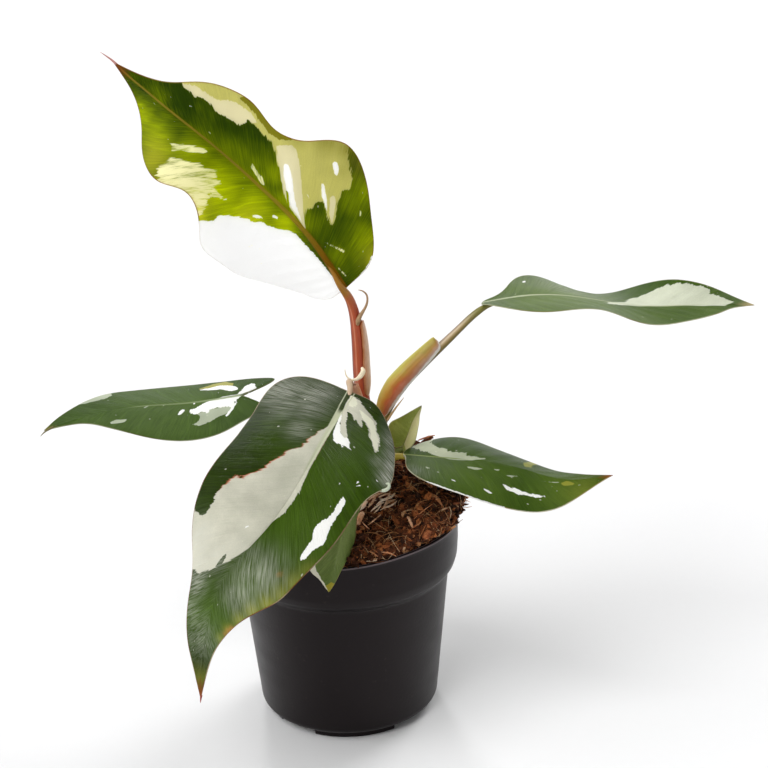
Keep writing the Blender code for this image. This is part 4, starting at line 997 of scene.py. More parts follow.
def add_piece(name, points, faces, material, layers=None, crisp=None):
    """A smooth piece with values on its points, creased where it bends by crisp degrees."""
    mesh = solid_mesh(name, points, faces)
    for key, values in (layers or {}).items():
        values = np.asarray(values, np.float32)
        vector = values.ndim == 2
        layer = mesh.attributes.new(key, "FLOAT_VECTOR" if vector else "FLOAT", "POINT")
        layer.data.foreach_set("vector" if vector else "value", values.ravel())
    mesh.shade_smooth()
    if crisp:
        mesh.set_sharp_from_angle(angle=math.radians(crisp))
    mesh.materials.append(material)
    return add_object(name, mesh)


def hand_over(piece, slot, *nodes):
    """The piece rides with the plant and stands for the CAD nodes."""
    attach(piece, "root")
    if nodes:
        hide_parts(*nodes)


def grid_faces(rows, columns, first=0, closed=False):
    faces = []
    for i in range(rows - 1):
        for j in range(columns if closed else columns - 1):
            k = (j + 1) % columns
            a = first + i * columns
            b = a + columns
            faces.append([a + j, a + k, b + k, b + j])
    return faces


def tube_faces(rings, sides):
    """Faces over a stack of rings and its two flat ends."""
    faces = grid_faces(rings, sides, closed=True)
    faces.append(list(reversed(range(sides))))
    faces.append([(rings - 1) * sides + j for j in range(sides)])
    return faces


def inside_distance(points, outline):
    """How far points lie inside an outline, negative outside it."""
    outline = np.asarray(outline, float)
    start = outline
    step = np.roll(outline, -1, axis=0) - start
    away = points[:, None] - start[None]
    size = np.maximum((step ** 2).sum(-1), 1e-9)
    share = np.clip((away * step).sum(-1) / size, 0, 1)
    gap = np.linalg.norm(away - share[..., None] * step, axis=-1).min(axis=1)
    above = start[:, 1] > points[:, 1:2]
    above_next = np.roll(above, -1, axis=1)
    rise = np.where(np.abs(step[:, 1]) < 1e-9, 1e-9, step[:, 1])
    crossing = away[..., 0] < step[:, 0] * away[..., 1] / rise
    inside = (np.logical_and(above != above_next, crossing).sum(axis=1) % 2) == 1
    return np.where(inside, gap, -gap)


def bump_sum(points, spots):
    """The strongest of soft round spots (x, y, reach, strength) at each point."""
    total = np.zeros(len(points))
    for x, y, reach, strength in spots:
        gap = np.linalg.norm(points - (x, y), axis=1)
        total = np.maximum(total, strength * np.exp(-(gap / reach) ** 2))
    return total


def sheet_normals(sheet, up):
    """Unit normals over a grid of points, on the side that up points to."""
    down = np.gradient(sheet, axis=0)
    over = np.gradient(sheet, axis=1)
    normals = np.cross(down, over)
    normals[0] = normals[1].mean(axis=0)
    normals[-1] = normals[-2].mean(axis=0)
    normals = unit(normals)
    if normals[len(sheet) // 2, sheet.shape[1] // 2].dot(up) < 0:
        normals = -normals
    return normals


def waves(points, number):
    """Smooth noise of -1 to 1 over flat points, for a blade's gentle unevenness."""
    shift = number * 11.3
    return np.array([noise.noise((x / WAVE_SIZE + shift, y / WAVE_SIZE - shift, 0.5))
                     for x, y in points])


def midrib_width(letter, station):
    """Half the width of the midrib's pale line."""
    base, tip = MIDRIBS[letter][:2]
    return tip + (base - tip) * np.maximum(1 - station, 0) ** 1.2


def midrib_line(letter, across, station):
    """How strongly the midrib's pale line shows at each point."""
    fades, joins = MIDRIBS[letter][2:]
    half = midrib_width(letter, station)
    far = np.abs(across)
    solid = np.clip((half - far) / 0.25 + 0.5, 0, 1)
    pair = np.clip(1 - np.abs(far - half) / 0.45, 0, 1)
    twin = np.clip((joins - station) / 0.08, 0, 1)
    return (solid * (1 - twin) + pair * twin) * np.clip((fades - station) / 0.1, 0, 1)


def patches_on(letter):
    """A leaf's patches and flecks as (tone, ragged, outline)."""
    flecks = []
    for along, across, half in FLECKS.get(letter, []):
        outline = np.round(np.array((along, across)) + half * FLECK_OUTLINE, 1)
        flecks.append(("white", FLECK_RAGGED, outline))
    return PATCHES[letter] + flecks


def blade_faces(rows, columns):
    """Faces over both sides of a blade and round its margin, with the margin's points.

    Each side has its base point, the rows between and its tip point. After both come the points
    of the rim. The margin's points are returned with those next to them inside the blade.
    """
    width = 2 * columns + 1
    total = (rows - 2) * width + 2
    faces = [[0, 1 + j, 2 + j] for j in range(width - 1)]
    faces += grid_faces(rows - 2, width, 1)
    last = 1 + (rows - 3) * width
    faces += [[last + j, total - 1, last + j + 1] for j in range(width - 1)]
    faces += [[v + total for v in reversed(face)] for face in faces]
    left_edge = [1 + i * width for i in range(rows - 2)]
    right_edge = [i + width - 1 for i in left_edge]
    loop = [0, *left_edge, total - 1, *reversed(right_edge)]
    inward = [left_edge[0] + columns, *[i + 1 for i in left_edge], total - 1 - (width - columns),
              *[i - 1 for i in reversed(right_edge)]]
    for a, corner in enumerate(loop):
        b = (a + 1) % len(loop)
        faces.append([corner, loop[b], 2 * total + b, 2 * total + a])
        faces.append([2 * total + a, 2 * total + b, loop[b] + total, corner + total])
    return faces, loop, inward


def blade_sides(leaf, letter, number, flat, sheet):
    """The upper side, the ribbed lower one and the middle between, as points."""
    up = leaf.frame(np.array(0.5 * leaf.length))[1]
    normal = sheet_normals(sheet, up).reshape(-1, 3)
    along, across, station, share = flat.T
    wide = np.abs(share)
    swell = np.sin(math.pi * np.clip(wide, 0, 1)) * QUILT
    swell *= np.cos(2 * math.pi * station * leaf.length / VEIN_PITCH)
    swell += WAVE * waves(flat[:, :2], number) * np.minimum(1, wide * 4)
    ends = np.clip(np.minimum(station, 1 - station) / 0.03, 0, 1)
    middle = sheet.reshape(-1, 3) + normal * (swell * ends)[:, None]
    half = HALF_THIN + (HALF_THICK - HALF_THIN) * (1 - wide) * ends
    rib_width = RIB_SPREAD * midrib_width(letter, station)
    rib = np.exp(-(across / rib_width) ** 2)
    size = min(1.0, 0.35 + leaf.length / 170)
    raised = RIB * size * rib * (1 - station) ** 0.8 * (0.3 + 0.7 * np.clip(along / 5, 0, 1))
    groove = GROOVE * np.exp(-(across / (0.5 * rib_width)) ** 2) * (1 - station)
    upper = middle + normal * (half - groove)[:, None]
    lower = middle - normal * (half + raised)[:, None]
    return upper, lower, middle


def blade_layers(leaf, letter, number, flat):
    """What a blade's material reads on the points of one side."""
    across, station, share = flat.T[1:]
    spots = flat[:, :2]
    run = np.linspace(0, 1, BLADE_ROWS[letter])
    ends = np.ones(len(run))
    margin = np.concatenate([leaf.vein_point(-1, run, ends),
                             leaf.vein_point(1, run[::-1], ends)], axis=1).T
    margin[:len(run), 1] *= -1
    own = np.full(len(flat), number * NOISE_STEP)
    layers = {
        "vein": np.column_stack([station * leaf.length, share * 30, own]),
        "flat": np.column_stack([spots, own]),
        "rim": np.maximum(inside_distance(spots, margin), 0),
        "line": midrib_line(letter, across, station),
        "tip": np.clip((station - 0.96) / 0.03, 0, 1) * 0.85,
    }
    for kind, leaves in SPOTS.items():
        layers[kind] = bump_sum(spots, leaves.get(letter, []))
    for tone in TONES:
        layers[tone] = np.full(len(flat), -9.0)
    for tone, ragged, outline in patches_on(letter):
        depth = np.clip(inside_distance(spots, outline) / ragged, -9, 9)
        layers[tone] = np.maximum(layers[tone], depth)
    return layers


def make_blade(letter, number):
    """A thin blade with a ribbed underside, grooved midrib and rounded margin."""
    leaf = Leaf(LEAVES[letter])
    rows = BLADE_ROWS[letter]
    columns = BLADE_COLUMNS[letter]
    run = np.linspace(0, 1, rows)
    stations = run - 0.08 * np.sin(2 * math.pi * run)
    shares = np.linspace(0, 1, columns + 1) ** BLADE_CROWD
    flats, places = [], []
    for side in (-1, 1):
        station, share = np.meshgrid(stations, shares, indexing="ij")
        along, across = leaf.vein_point(side, station, share)
        flats.append(np.stack([along, side * across, station, side * share], axis=-1))
        places.append(leaf.surface(side, along, across))
    flat = np.concatenate([flats[0][:, :0:-1], flats[1]], axis=1).reshape(-1, 4)
    sheet = np.concatenate([places[0][:, :0:-1], places[1]], axis=1)

    # The rows at the base and the tip are one point each.
    last = len(flat) - columns - 1
    keep = [columns, *range(2 * columns + 1, len(flat) - 2 * columns - 1), last]
    faces, loop, inward = blade_faces(rows, columns)
    upper, lower, middle = (p[keep] for p in blade_sides(leaf, letter, number, flat, sheet))
    rim = middle[loop] + unit(middle[loop] - middle[inward]) * RIM_BULGE
    layers = blade_layers(leaf, letter, number, flat[keep])
    for key, values in layers.items():
        layers[key] = np.concatenate([values, values, values[loop]])
    piece = add_piece("Leaf_fine_" + letter, np.concatenate([upper, lower, rim]), faces,
                      leaf_material(letter), layers)
    hand_over(piece, "leaf_young" if letter == "A" else "leaf", "Leaf_" + letter)
    return leaf


def turns(sides):
    """Even turns round a ring."""
    return np.linspace(0, 2 * math.pi, sides, endpoint=False)


def tube_rings(points, radii, sides):
    """Rings of points round a path."""
    points = np.asarray(points, float)
    side, third = path_frames(points, (0.0, -1.0, 0.0))[1:]
    turn = turns(sides)[None, :, None]
    way = np.cos(turn) * side[:, None] + np.sin(turn) * third[:, None]
    return points[:, None] + np.asarray(radii)[:, None, None] * way


def tube_mesh(points, radii, sides):
    """Points and faces of a closed tube."""
    rings = tube_rings(points, radii, sides)
    return rings.reshape(-1, 3), tube_faces(len(points), sides)


def stalk_material(letter, joint):
    """A stalk's tones from its root to its top, with painted shade on its underside."""
    root, middle, top, under = STALK_LOOKS[letter]
    paint = Paint("stalk " + letter)
    run = paint.read("run", "Vector")
    share = paint.read("share")
    line = paint.grain(run, (0.05, 1.6, 1.0), 1.0, 3.0)
    spot = paint.grain(run, (0.25, 0.25, 1.0), 1.0, 3.0)
    colour = paint.ramp(share, [(0.05, root), (0.5 * joint, middle), (joint - 0.03, top)])
    # Painted shade: the shade tone laid on where the stalk faces down and towards +X.
    shaded = paint.total(paint.read("round"), (spot, 0.15), clamp=True)
    colour = paint.mix(paint.times(shaded, 0.8), colour, linear(under))
    if letter in STALK_TONE_AND_SHADING:
        # Painted highlight and painted shade by the way the surface faces, over the stalk's own
        # stripes.
        toned_and_shaded = paint.ramp(paint.read("tone_and_shading"), STALK_TONE_AND_SHADING[letter][1])
        left = paint.rest(paint.rise(share, 0.85 * joint, joint + 0.02))
        colour = paint.mix(paint.times(left, 0.85), colour, toned_and_shaded)
    if letter == "A":
        rib = linear(LOOKS[letter]["rib"])
        colour = paint.mix(paint.rise(share, joint - 0.03, joint + 0.03), colour, rib)
    colour = paint.shade(colour, paint.total(1.0, (line, 0.12), (spot, 0.06)))
    paint.bump(line, 0.3, 0.00025)
    paint.set(Base_Color=colour, Roughness=0.36, Specular_IOR_Level=0.45)
    paint.glow(colour, 0.12)
    return paint.material


def make_stalk(letter, number, leaf):
    """A stalk that grows out of the stem and runs on into its blade's midrib."""
    spec = STALKS[letter]
    reach = min(16.0, 0.2 * leaf.length)
    end = spec["radii"][-1]
    tail_radii = [0.75 * end, 0.45 * end, 0.2]
    tail = []
    for part, radius in zip((0.15, 0.5, 1.0), tail_radii):
        place = np.array(part * reach)
        tail.append(tuple(leaf.midrib(place) - (radius + 0.25) * leaf.frame(place)[1]))
    path = [*spec["path"], *tail]
    radii = [*spec["radii"], *tail_radii]
    points, share, marks = smooth_path(path, STALK_RINGS)
    joint = float(marks[len(spec["path"]) - 1])
    radii = np.interp(share, marks, radii)
    rings = tube_rings(points, radii, STALK_SIDES)
    length = np.linalg.norm(np.diff(points, axis=0), axis=1).sum()
    along = np.repeat(share, STALK_SIDES)
    way = unit(rings - points[:, None])
    # Painted shade, stronger where the surface faces down and towards +X.
    shaded = np.clip(0.5 - 0.9 * way[..., 2] + 0.3 * way[..., 0], 0, 1)
    axis = STALK_TONE_AND_SHADING.get(letter, ((1.0, 0.0, 0.0), None))[0]
    layers = {
        "share": along,
        "tone_and_shading": (0.5 + 0.5 * way @ unit(axis)).ravel(),
        "round": shaded.ravel(),
        "run": np.column_stack([along * length, np.tile(turns(STALK_SIDES), STALK_RINGS) * 2.2,
                                np.full(along.size, number * 5.1)]),
    }
    piece = add_piece("Stalk_fine_" + letter, rings.reshape(-1, 3),
                      tube_faces(STALK_RINGS, STALK_SIDES), stalk_material(letter, joint), layers)
    hand_over(piece, "stalk_red" if letter == "A" else "stalk", "Stalk_" + letter)


def sheath_material(letter):
    """A sheath's tones from edge to edge; those of sheath C also change along it."""
    paint = Paint("sheath " + letter)
    run = paint.read("run", "Vector")
    line = paint.grain(run, (0.05, 1.8, 1.0), 1.0, 3.0)
    spot = paint.grain(run, (0.2, 0.3, 1.0), 1.0, 3.0)
    place = paint.total(paint.read("across"), (spot, 0.05), clamp=True)
    colour = paint.ramp(place, SHEATH_TONES[letter])
    if letter == "C":
        share = paint.read("share")
        upper = paint.ramp(place, UPPER_C)
        colour = paint.mix(paint.rise(share, 0.35, 0.85), colour, upper)
        low = paint.rest(paint.rise(share, 0.0, 0.5))
        colour = paint.mix(paint.times(low, 0.3), colour, linear(LOW_C))
    colour = paint.shade(colour, paint.total(1.0, (line, 0.10), (spot, 0.06)))
    paint.bump(line, 0.3, 0.00025)
    paint.set(Base_Color=colour, Roughness=0.38, Specular_IOR_Level=0.45)
    paint.glow(colour, 0.3)
    return paint.material


def make_sheath(letter, number):
    """An open wing that wraps a stretch of its stalk, thin at its edges and its top."""
    spec = SHEATHS[letter]
    stalk = STALKS[letter]
    points, share, marks = smooth_path(stalk["path"], SHEATH_POINTS)
    side, third = path_frames(points, spec["towards"])[1:]
    radii = through(marks, stalk["radii"], share)
    along = np.linspace(spec["start"], spec["end"], SHEATH_RINGS)
    outer_rows, inner_rows, runs = [], [], []
    for i, place in enumerate(along):
        centre, u, w = (np.array([np.interp(place, share, v[:, k]) for k in range(3)])
                        for v in (points, side, third))
        progress = i / (SHEATH_RINGS - 1)
        sink = SHEATH_SINK * max(0.0, 1 - progress / 0.25) ** 2
        radius = np.interp(place, share, radii) + SHEATH_GAP * 0.6 - sink
        spread = math.radians(spec["opening"]) / 2 * (1 - 0.3 * progress ** 3)
        closing = math.sqrt(max(0.0, 1 - max(0.0, (progress - 0.94) / 0.06) ** 2))
        spread *= 0.25 + 0.75 * closing
        grown = 0.3 + 0.7 * min(1, progress / 0.35)
        reach = spec["reach"] * grown * (1 - spec["taper"] * progress ** 2)
        turn = np.linspace(-spread, spread, SHEATH_COLUMNS + 1)
        part = turn / spread
        bulge = reach * np.cos(part * math.pi / 2) ** 2
        ripple = 0.12 * np.sin(progress * 23 + number) * part ** 2
        thick = SHEATH_WALL * (0.3 + 0.7 * (1 - np.abs(part) ** 3))
        way = np.cos(turn)[:, None] * u + np.sin(turn)[:, None] * w
        inside = radius + bulge + ripple
        inner_rows.append(centre + inside[:, None] * way)
        outer_rows.append(centre + (inside + thick)[:, None] * way)
        runs.append(np.column_stack([np.full(len(turn), progress * SHEATH_RUN),
                                     part * SHEATH_HALF, np.full(len(turn), 3.3 * number)]))
    rings = [np.concatenate([o, i[::-1]]) for o, i in zip(outer_rows, inner_rows)]
    loop = 2 * (SHEATH_COLUMNS + 1)
    faces = grid_faces(SHEATH_RINGS, loop, closed=True)
    for row in (0, SHEATH_RINGS - 1):
        for j in range(SHEATH_COLUMNS):
            faces.append([row * loop + v for v in (j, j + 1, loop - 2 - j, loop - 1 - j)])
    runs = np.concatenate([np.concatenate([r, r[::-1]]) for r in runs])
    layers = {"run": runs, "across": runs[:, 1] / (2 * SHEATH_HALF) + 0.5,
              "share": runs[:, 0] / SHEATH_RUN}
    piece = add_piece("Sheath_fine_" + letter, np.concatenate(rings), faces,
                      sheath_material(letter), layers)
    hand_over(piece, "sheath", "Sheath_" + letter)


def soften(profile, size, steps=4):
    """The profile with its inner corners rounded."""
    points = [np.array(p, float) for p in profile]
    rounded = [points[0]]
    for before, corner, after in zip(points, points[1:], points[2:]):
        reach = [min(size, 0.4 * np.linalg.norm(p - corner)) for p in (before, after)]
        start = corner + unit(before - corner) * reach[0]
        stop = corner + unit(after - corner) * reach[1]
        for t in np.linspace(0, 1, steps):
            rounded.append((1 - t) ** 2 * start + 2 * t * (1 - t) * corner + t * t * stop)
    rounded.append(points[-1])
    return rounded


def ring_faces(rings, steps):
    """Faces over a first pole, a stack of rings and a last pole."""
    last = rings * steps + 1
    faces = [[0, 1 + j, 1 + (j + 1) % steps] for j in range(steps)]
    faces += grid_faces(rings, steps, 1, closed=True)
    low = 1 + (rings - 1) * steps
    faces += [[low + j, last, low + (j + 1) % steps] for j in range(steps)]
    return faces


def plastic_material():
    """Black plastic with painted highlights on its lip's edges, which follow the bent rim."""
    paint = Paint("black plastic")
    where = paint.place()
    mould = paint.grain(where, (0.9, 0.9, 0.9), 1.0, 4.0)
    smear = paint.grain(where, (0.05, 0.05, 0.12), 1.0, 3.0)
    dust = paint.rise(paint.grain(where, (0.35, 0.35, 0.35), 1.0, 5.0), 0.55, 1.2)
    colour = paint.mix(paint.times(dust, 0.10), linear((13, 9, 10)), linear((100, 88, 82)))
    away = math.radians(RIM_LIFT_TURN)
    lifted = (math.cos(away), math.sin(away), 0.0)
    level = paint.stretch(where, (1.0, 1.0, 0.0))
    out = paint.add("ShaderNodeVectorMath", {0: level}, 1, operation="LENGTH")
    heading = paint.add("ShaderNodeVectorMath", {0: level}, operation="NORMALIZE")
    facing = paint.add("ShaderNodeVectorMath", {0: heading, 1: lifted}, 1,
                       operation="DOT_PRODUCT")
    bent = paint.calc("POWER", paint.calc("MAXIMUM", facing, 0.0), 4.0)
    height = paint.calc("SUBTRACT", paint.part(where, 2), paint.times(bent, RIM_LIFT))
    # Painted highlights: thin light lines along the inner and outer edges of the lip.
    inner = paint.times(paint.near(out, RIM_RADIUS - 1.2, 0.3),
                        paint.rise(height, POT_HEIGHT - 0.35, POT_HEIGHT - 0.15))
    outer = paint.times(paint.near(out, RIM_RADIUS + 0.15, 0.3),
                        paint.rise(height, POT_HEIGHT - 0.8, POT_HEIGHT - 0.5))
    lip_highlight = paint.calc("ADD", paint.times(inner, 0.7), outer, clamp=True)
    lip_highlight = paint.times(lip_highlight, paint.total(0.75, (smear, 0.25), clamp=True))
    paint.bump(mould, 0.12, 0.00008)
    paint.set(Base_Color=paint.mix(lip_highlight, colour, linear((128, 116, 119))),
              Roughness=paint.total(0.38, (smear, 0.05)), Specular_IOR_Level=0.2,
              Specular_Tint=(1.0, 0.87, 0.89))
    return paint.material


def rim_lift(turn):
    """How far the soft rim is bent up at a turn."""
    return RIM_LIFT * max(0.0, math.cos(turn - math.radians(RIM_LIFT_TURN))) ** 4


def around(radius, height, turn):
    """The point at a radius, height and turn."""
    return radius * math.cos(turn), radius * math.sin(turn), height


def make_pot():
    """The pot, its foot ring notched and drained at even turns."""
    profile = soften(POT_INSIDE + POT_OUTSIDE, POT_ROUNDING)
    points = [(0, 0, profile[0][1])]
    for radius, height in profile[1:-1]:
        lifted = min(1.0, max(0.0, (height - 64) / 14))
        points += [around(radius, height + lifted * rim_lift(a), a) for a in turns(POT_STEPS)]
    points.append((0, 0, profile[-1][1]))
    pot = add_piece("Pot_fine", points, ring_faces(len(profile) - 2, POT_STEPS),
                    plastic_material())
    cutters = []
    for i in range(NOTCHES):
        turn = math.radians(-90 + NOTCH_TURN + i * 360 / NOTCHES)
        cutters += [notch_cutter(turn), drain_cutter(turn)]
    for cutter in cutters:
        boolean = pot.modifiers.new("cut", "BOOLEAN")
        boolean.operation = "DIFFERENCE"
        boolean.solver = "EXACT"
        boolean.object = cutter
    bpy.context.view_layer.update()
    cut_pot = pot.evaluated_get(bpy.context.evaluated_depsgraph_get())
    cut_mesh = bpy.data.meshes.new_from_object(cut_pot)
    pot.modifiers.clear()
    pot.data = cut_mesh
    for cutter in cutters:
        bpy.data.objects.remove(cutter)
    cut_mesh.shade_smooth()
    cut_mesh.set_sharp_from_angle(angle=math.radians(40))
    hand_over(pot, "pot", "Pot")


def notch_cutter(turn):
    """A box that opens the foot ring at one drain hole."""
    build = bmesh.new()
    bmesh.ops.create_cube(build, size=1.0)
    mesh = bpy.data.meshes.new("notch")
    build.to_mesh(mesh)
    build.free()
    size = (NOTCH_DEPTH * MM, NOTCH_WIDTH * MM, 2 * FLOOR_RECESS * MM, 1.0)
    place = Matrix.Translation(around(FOOT_RADIUS * MM, 0, turn))
    mesh.transform(place @ Matrix.Rotation(turn, 4, "Z") @ Matrix.Diagonal(size))
    return add_object("notch", mesh)


def drain_cutter(turn):
    """A rod through the floor for one drain hole."""
    ends = [around(DRAIN_RING, z, turn) for z in (FLOOR_RECESS - 1, FLOOR_TOP + 1)]
    points, faces = tube_mesh(ends, [DRAIN_RADIUS] * 2, DRAIN_SIDES)
    return add_object("drain", solid_mesh("drain", points, faces))


def heap(turn):
    """0 where the soil is level with the rim, 1 where it stands highest over it."""
    return 0.5 + 0.5 * math.cos(turn - math.radians(SOIL_HEAP_TURN))


def soil_top(turn, share):
    """A point of the soil's surface, share 1 at its edge and 0 at its peak."""
    high = heap(turn)
    edge = RIM_RADIUS - 3.0 + SOIL_OVERHANG * high ** 4
    x = SOIL_PEAK_AT[0] * (1 - share) + edge * math.cos(turn) * share
    y = SOIL_PEAK_AT[1] * (1 - share) + edge * math.sin(turn) * share
    rim = SOIL_EDGE + 2.4 + SOIL_HEAP_RISE * high ** 2
    z = rim + (SOIL_PEAK - rim) * (1 - share ** PEAK_SHARE)
    return np.array((x, y, z))


def soil_brow(turn, share):
    """A point between the pot's lip, share 0, and the top surface, share 1."""
    high = heap(turn) ** 2
    hang = SOIL_OVERHANG * high ** 2
    throat = RIM_RADIUS - LIP - 0.6
    marks = [(throat, SOIL_EDGE - 1.4 + rim_lift(turn))]
    for out, height, rise in ((0.0, 0.5, 0.0), (0.15, 1.5, 0.1), (0.95, 2.6, 0.36),
                              (0.9, 2.8, 0.72)):
        marks.append((throat - 0.6 * rise + out * hang,
                      SOIL_EDGE + height + rise * SOIL_HEAP_RISE * high
                      + (1 - rise) * rim_lift(turn)))
    top = soil_top(turn, 0.96)
    marks.append((math.hypot(top[0], top[1]), top[2]))
    place = share * (len(marks) - 1)
    radius = np.interp(place, range(len(marks)), [m[0] for m in marks])
    height = np.interp(place, range(len(marks)), [m[1] for m in marks])
    return np.array(around(radius, height, turn))


def soil_material(name, tones, dusty=0.0):
    paint = Paint(name)
    where = paint.read("spot", "Vector")
    clod = paint.grain(where, (0.5, 0.5, 0.5), 1.0, 4.0)
    fine = paint.grain(where, (2.6, 2.6, 2.6), 1.0, 4.0)
    place = paint.total(paint.read("tone"), (clod, 0.12), (fine, 0.10), clamp=True)
    colour = paint.shade(paint.ramp(place, tones), paint.total(1.0, (fine, 0.25)))
    paint.bump(fine, 0.6, 0.0004)
    paint.set(Base_Color=colour, Roughness=0.9 - dusty, Specular_IOR_Level=0.25)
    return paint.material


def make_soil():
    """The root ball: it fills the pot, is heaped round the stem and hangs over one edge."""
    steps = [2 * math.pi * j / SOIL_STEPS for j in range(SOIL_STEPS)]
    inner = [(r - 0.4, z + 0.3) for r, z in POT_INSIDE[1:-1]]
    points = [(0, 0, PANEL_TOP + 0.3)]
    for radius, height in inner:
        points += [around(radius, height, a) for a in steps]
    for share in np.linspace(0, 1, BROW_ROWS):
        points += [soil_brow(a, share) for a in steps]
    for share in np.linspace(0.94, 1 / SOIL_RINGS, SOIL_RINGS):
        points += [soil_top(a, share) for a in steps]
    points.append((*SOIL_PEAK_AT, SOIL_PEAK))
    points = np.array(points, float)
    first = 1 + len(inner) * SOIL_STEPS
    shown = points[first:-1].reshape(-1, SOIL_STEPS, 3)
    rolled = np.concatenate([shown[:, -1:], shown, shown[:, :1]], axis=1)
    sideways = rolled[:, 2:] - rolled[:, :-2]
    outward = unit(np.cross(sideways, np.gradient(shown, axis=0)))
    lumps = np.zeros(shown.shape[:2])
    for i, row in enumerate(shown):
        for j, place in enumerate(row):
            spot = Vector(place)
            lumps[i, j] = (1.3 * noise.noise(spot / 6.0) + 1.2 * noise.noise(spot / 2.6)
                           + 0.8 * noise.noise(spot / 1.2))
    fade = np.clip(np.arange(len(shown)) / 6, 0.1, 1)[:, None]
    shown = shown + outward * (lumps * fade)[..., None]
    points[first:-1] = shown.reshape(-1, 3)
    rings = (len(points) - 2) // SOIL_STEPS
    # Painted shade: the mix is dark between the loose bits, darker where its lumps sink and
    # lighter where they stand out.
    tone = np.full(len(points), 0.18)
    tone[first:-1] += 0.16 * lumps.ravel()
    soil = add_piece("Soil_fine", points, ring_faces(rings, SOIL_STEPS),
                     soil_material("potting mix", SOIL_TONES), {"spot": points, "tone": tone})
    hand_over(soil, "soil", "Soil")
    return Ground(shown[SHOWN_FROM:], outward[SHOWN_FROM:])


class Ground:
    """The mix's shown surface, for random places that are even over its area."""

    def __init__(self, surface, outward):
        wrapped = np.concatenate([surface, surface[:, :1]], axis=1)
        self.corner = surface[:-1].reshape(-1, 3)
        self.down = (surface[1:] - surface[:-1]).reshape(-1, 3)
        self.over = (wrapped[:-1, 1:] - wrapped[:-1, :-1]).reshape(-1, 3)
        self.outward = outward[:-1].reshape(-1, 3)
        area = np.linalg.norm(np.cross(self.down, self.over), axis=1)
        self.reach = np.cumsum(area)

    def place(self, draw):
        """A random place and the way out of the mix there."""
        pick = int(np.searchsorted(self.reach, draw.random() * self.reach[-1]))
        spot = self.corner[pick] + draw.random() * self.down[pick]
        return spot + draw.random() * self.over[pick], self.outward[pick]


class Pile:
    """Many small bodies gathered in one piece, each in one tone."""

    def __init__(self):
        self.points, self.faces, self.tones = [], [], []

    def add(self, body, shell, tone):
        first = len(self.tones)
        self.points.append(body)
        self.faces += [[v + first for v in face] for face in shell]
        self.tones += [tone] * len(body)

    def finish(self, name, tones, dusty=0.0, crisp=None):
        points = np.concatenate(self.points)
        piece = add_piece("Soil_" + name, points, self.faces, soil_material(name, tones, dusty),
                          {"spot": points, "tone": self.tones}, crisp)
        hand_over(piece, "soil")


def crumb_shape(level):
    build = bmesh.new()
    bmesh.ops.create_icosphere(build, subdivisions=level, radius=1.0)
    points = np.array([v.co for v in build.verts])
    faces = [[v.index for v in f.verts] for f in build.faces]
    build.free()
    return points, faces


def any_way(draw):
    """A random direction, not of unit length."""
    return [draw.uniform(-1, 1) for _ in range(3)]


def make_crumbs(ground):
    """Loose crumbs of the mix."""
    draw = random.Random(21)
    shapes = [crumb_shape(1), crumb_shape(2)]
    pile = Pile()
    for _ in range(CRUMBS):
        place, away = ground.place(draw)
        size = 0.28 + 1.15 * draw.random() ** 3
        shape, shell = shapes[1 if size > 0.82 else 0]
        scale = np.array([draw.uniform(0.6, 2.0), draw.uniform(0.5, 1.0), draw.uniform(0.35, 0.8)])
        turned = Matrix.Rotation(draw.uniform(0, 6.28), 3, Vector(any_way(draw)))
        rough = np.array([1 + 1.1 * noise.noise(Vector(p) * 2.6 + Vector(place)) for p in shape])
        body = (shape * rough[:, None] * scale * size) @ np.array(turned)
        body = body + place + away * draw.uniform(0.0, 0.9) * size
        hollow = min(1.15, max(0.2, 0.85 + 0.9 * noise.noise(Vector(place) / 7.0)))
        pile.add(body, shell, (0.06 + 0.86 * draw.random() ** 1.7) * hollow)
    pile.finish("crumbs", SOIL_TONES, crisp=32)


def make_fibres(ground):
    """Coir fibres and straws lying over the mix, some with an end in the air."""
    draw = random.Random(5)
    pile = Pile()
    for index in range(FIBRES):
        place, away = ground.place(draw)
        length = draw.uniform(1.6, 5.0) if index % 14 else draw.uniform(6.0, 12.0)
        heading = unit(np.cross(away, any_way(draw)))
        heading = unit(heading + away * (draw.uniform(0.0, 0.9) if index % 4 == 0 else 0.0))
        sideways = np.cross(away, heading)
        bend = draw.uniform(-0.7, 0.7)
        arch = draw.uniform(-0.1, 0.7)
        lift = draw.uniform(-0.1, 0.9)
        path = []
        for t in np.linspace(-0.5, 0.5, FIBRE_POINTS):
            path.append(place + heading * length * t + sideways * bend * length * t * t
                        + away * (lift + arch * (0.25 - t * t) * length))
        thick = draw.uniform(0.06, 0.17) * (1.5 if index % 14 == 0 else 1.0)
        radii = thick * (0.4 + 0.6 * np.sin(np.linspace(0.3, 2.8, FIBRE_POINTS)))
        pile.add(*tube_mesh(path, radii, 3), draw.random() ** 1.2)
    pile.finish("fibres", FIBRE_TONES, dusty=0.2)


def make_chips(ground):
    """Flat chips of bark and husk."""
    draw = random.Random(11)
    pile = Pile()
    shell = tube_faces(4, CHIP_CORNERS)
    for _ in range(CHIPS):
        place, away = ground.place(draw)
        along = unit(np.cross(away, any_way(draw)))
        across = np.cross(away, along)
        size = draw.uniform(1.2, 3.2)
        wide = size * draw.uniform(0.25, 0.55)
        rim = []
        for k in range(CHIP_CORNERS):
            a = 2 * math.pi * k / CHIP_CORNERS
            reach = draw.uniform(0.8, 1.15)
            rim.append((size * reach * math.cos(a), wide * reach * math.sin(a)))
        thick = draw.uniform(0.25, 0.6)
        tilt = draw.uniform(-0.25, 0.25)
        body = []
        for level, shrink in ((-1, 0.85), (-0.6, 1.0), (0.6, 1.0), (1, 0.85)):
            body += [place + along * x * shrink + across * y * shrink
                     + away * (0.5 + level * thick / 2 + tilt * x) for x, y in rim]
        pile.add(np.array(body), shell, 0.3 + 0.6 * draw.random())
    pile.finish("chips", SOIL_TONES, crisp=40)


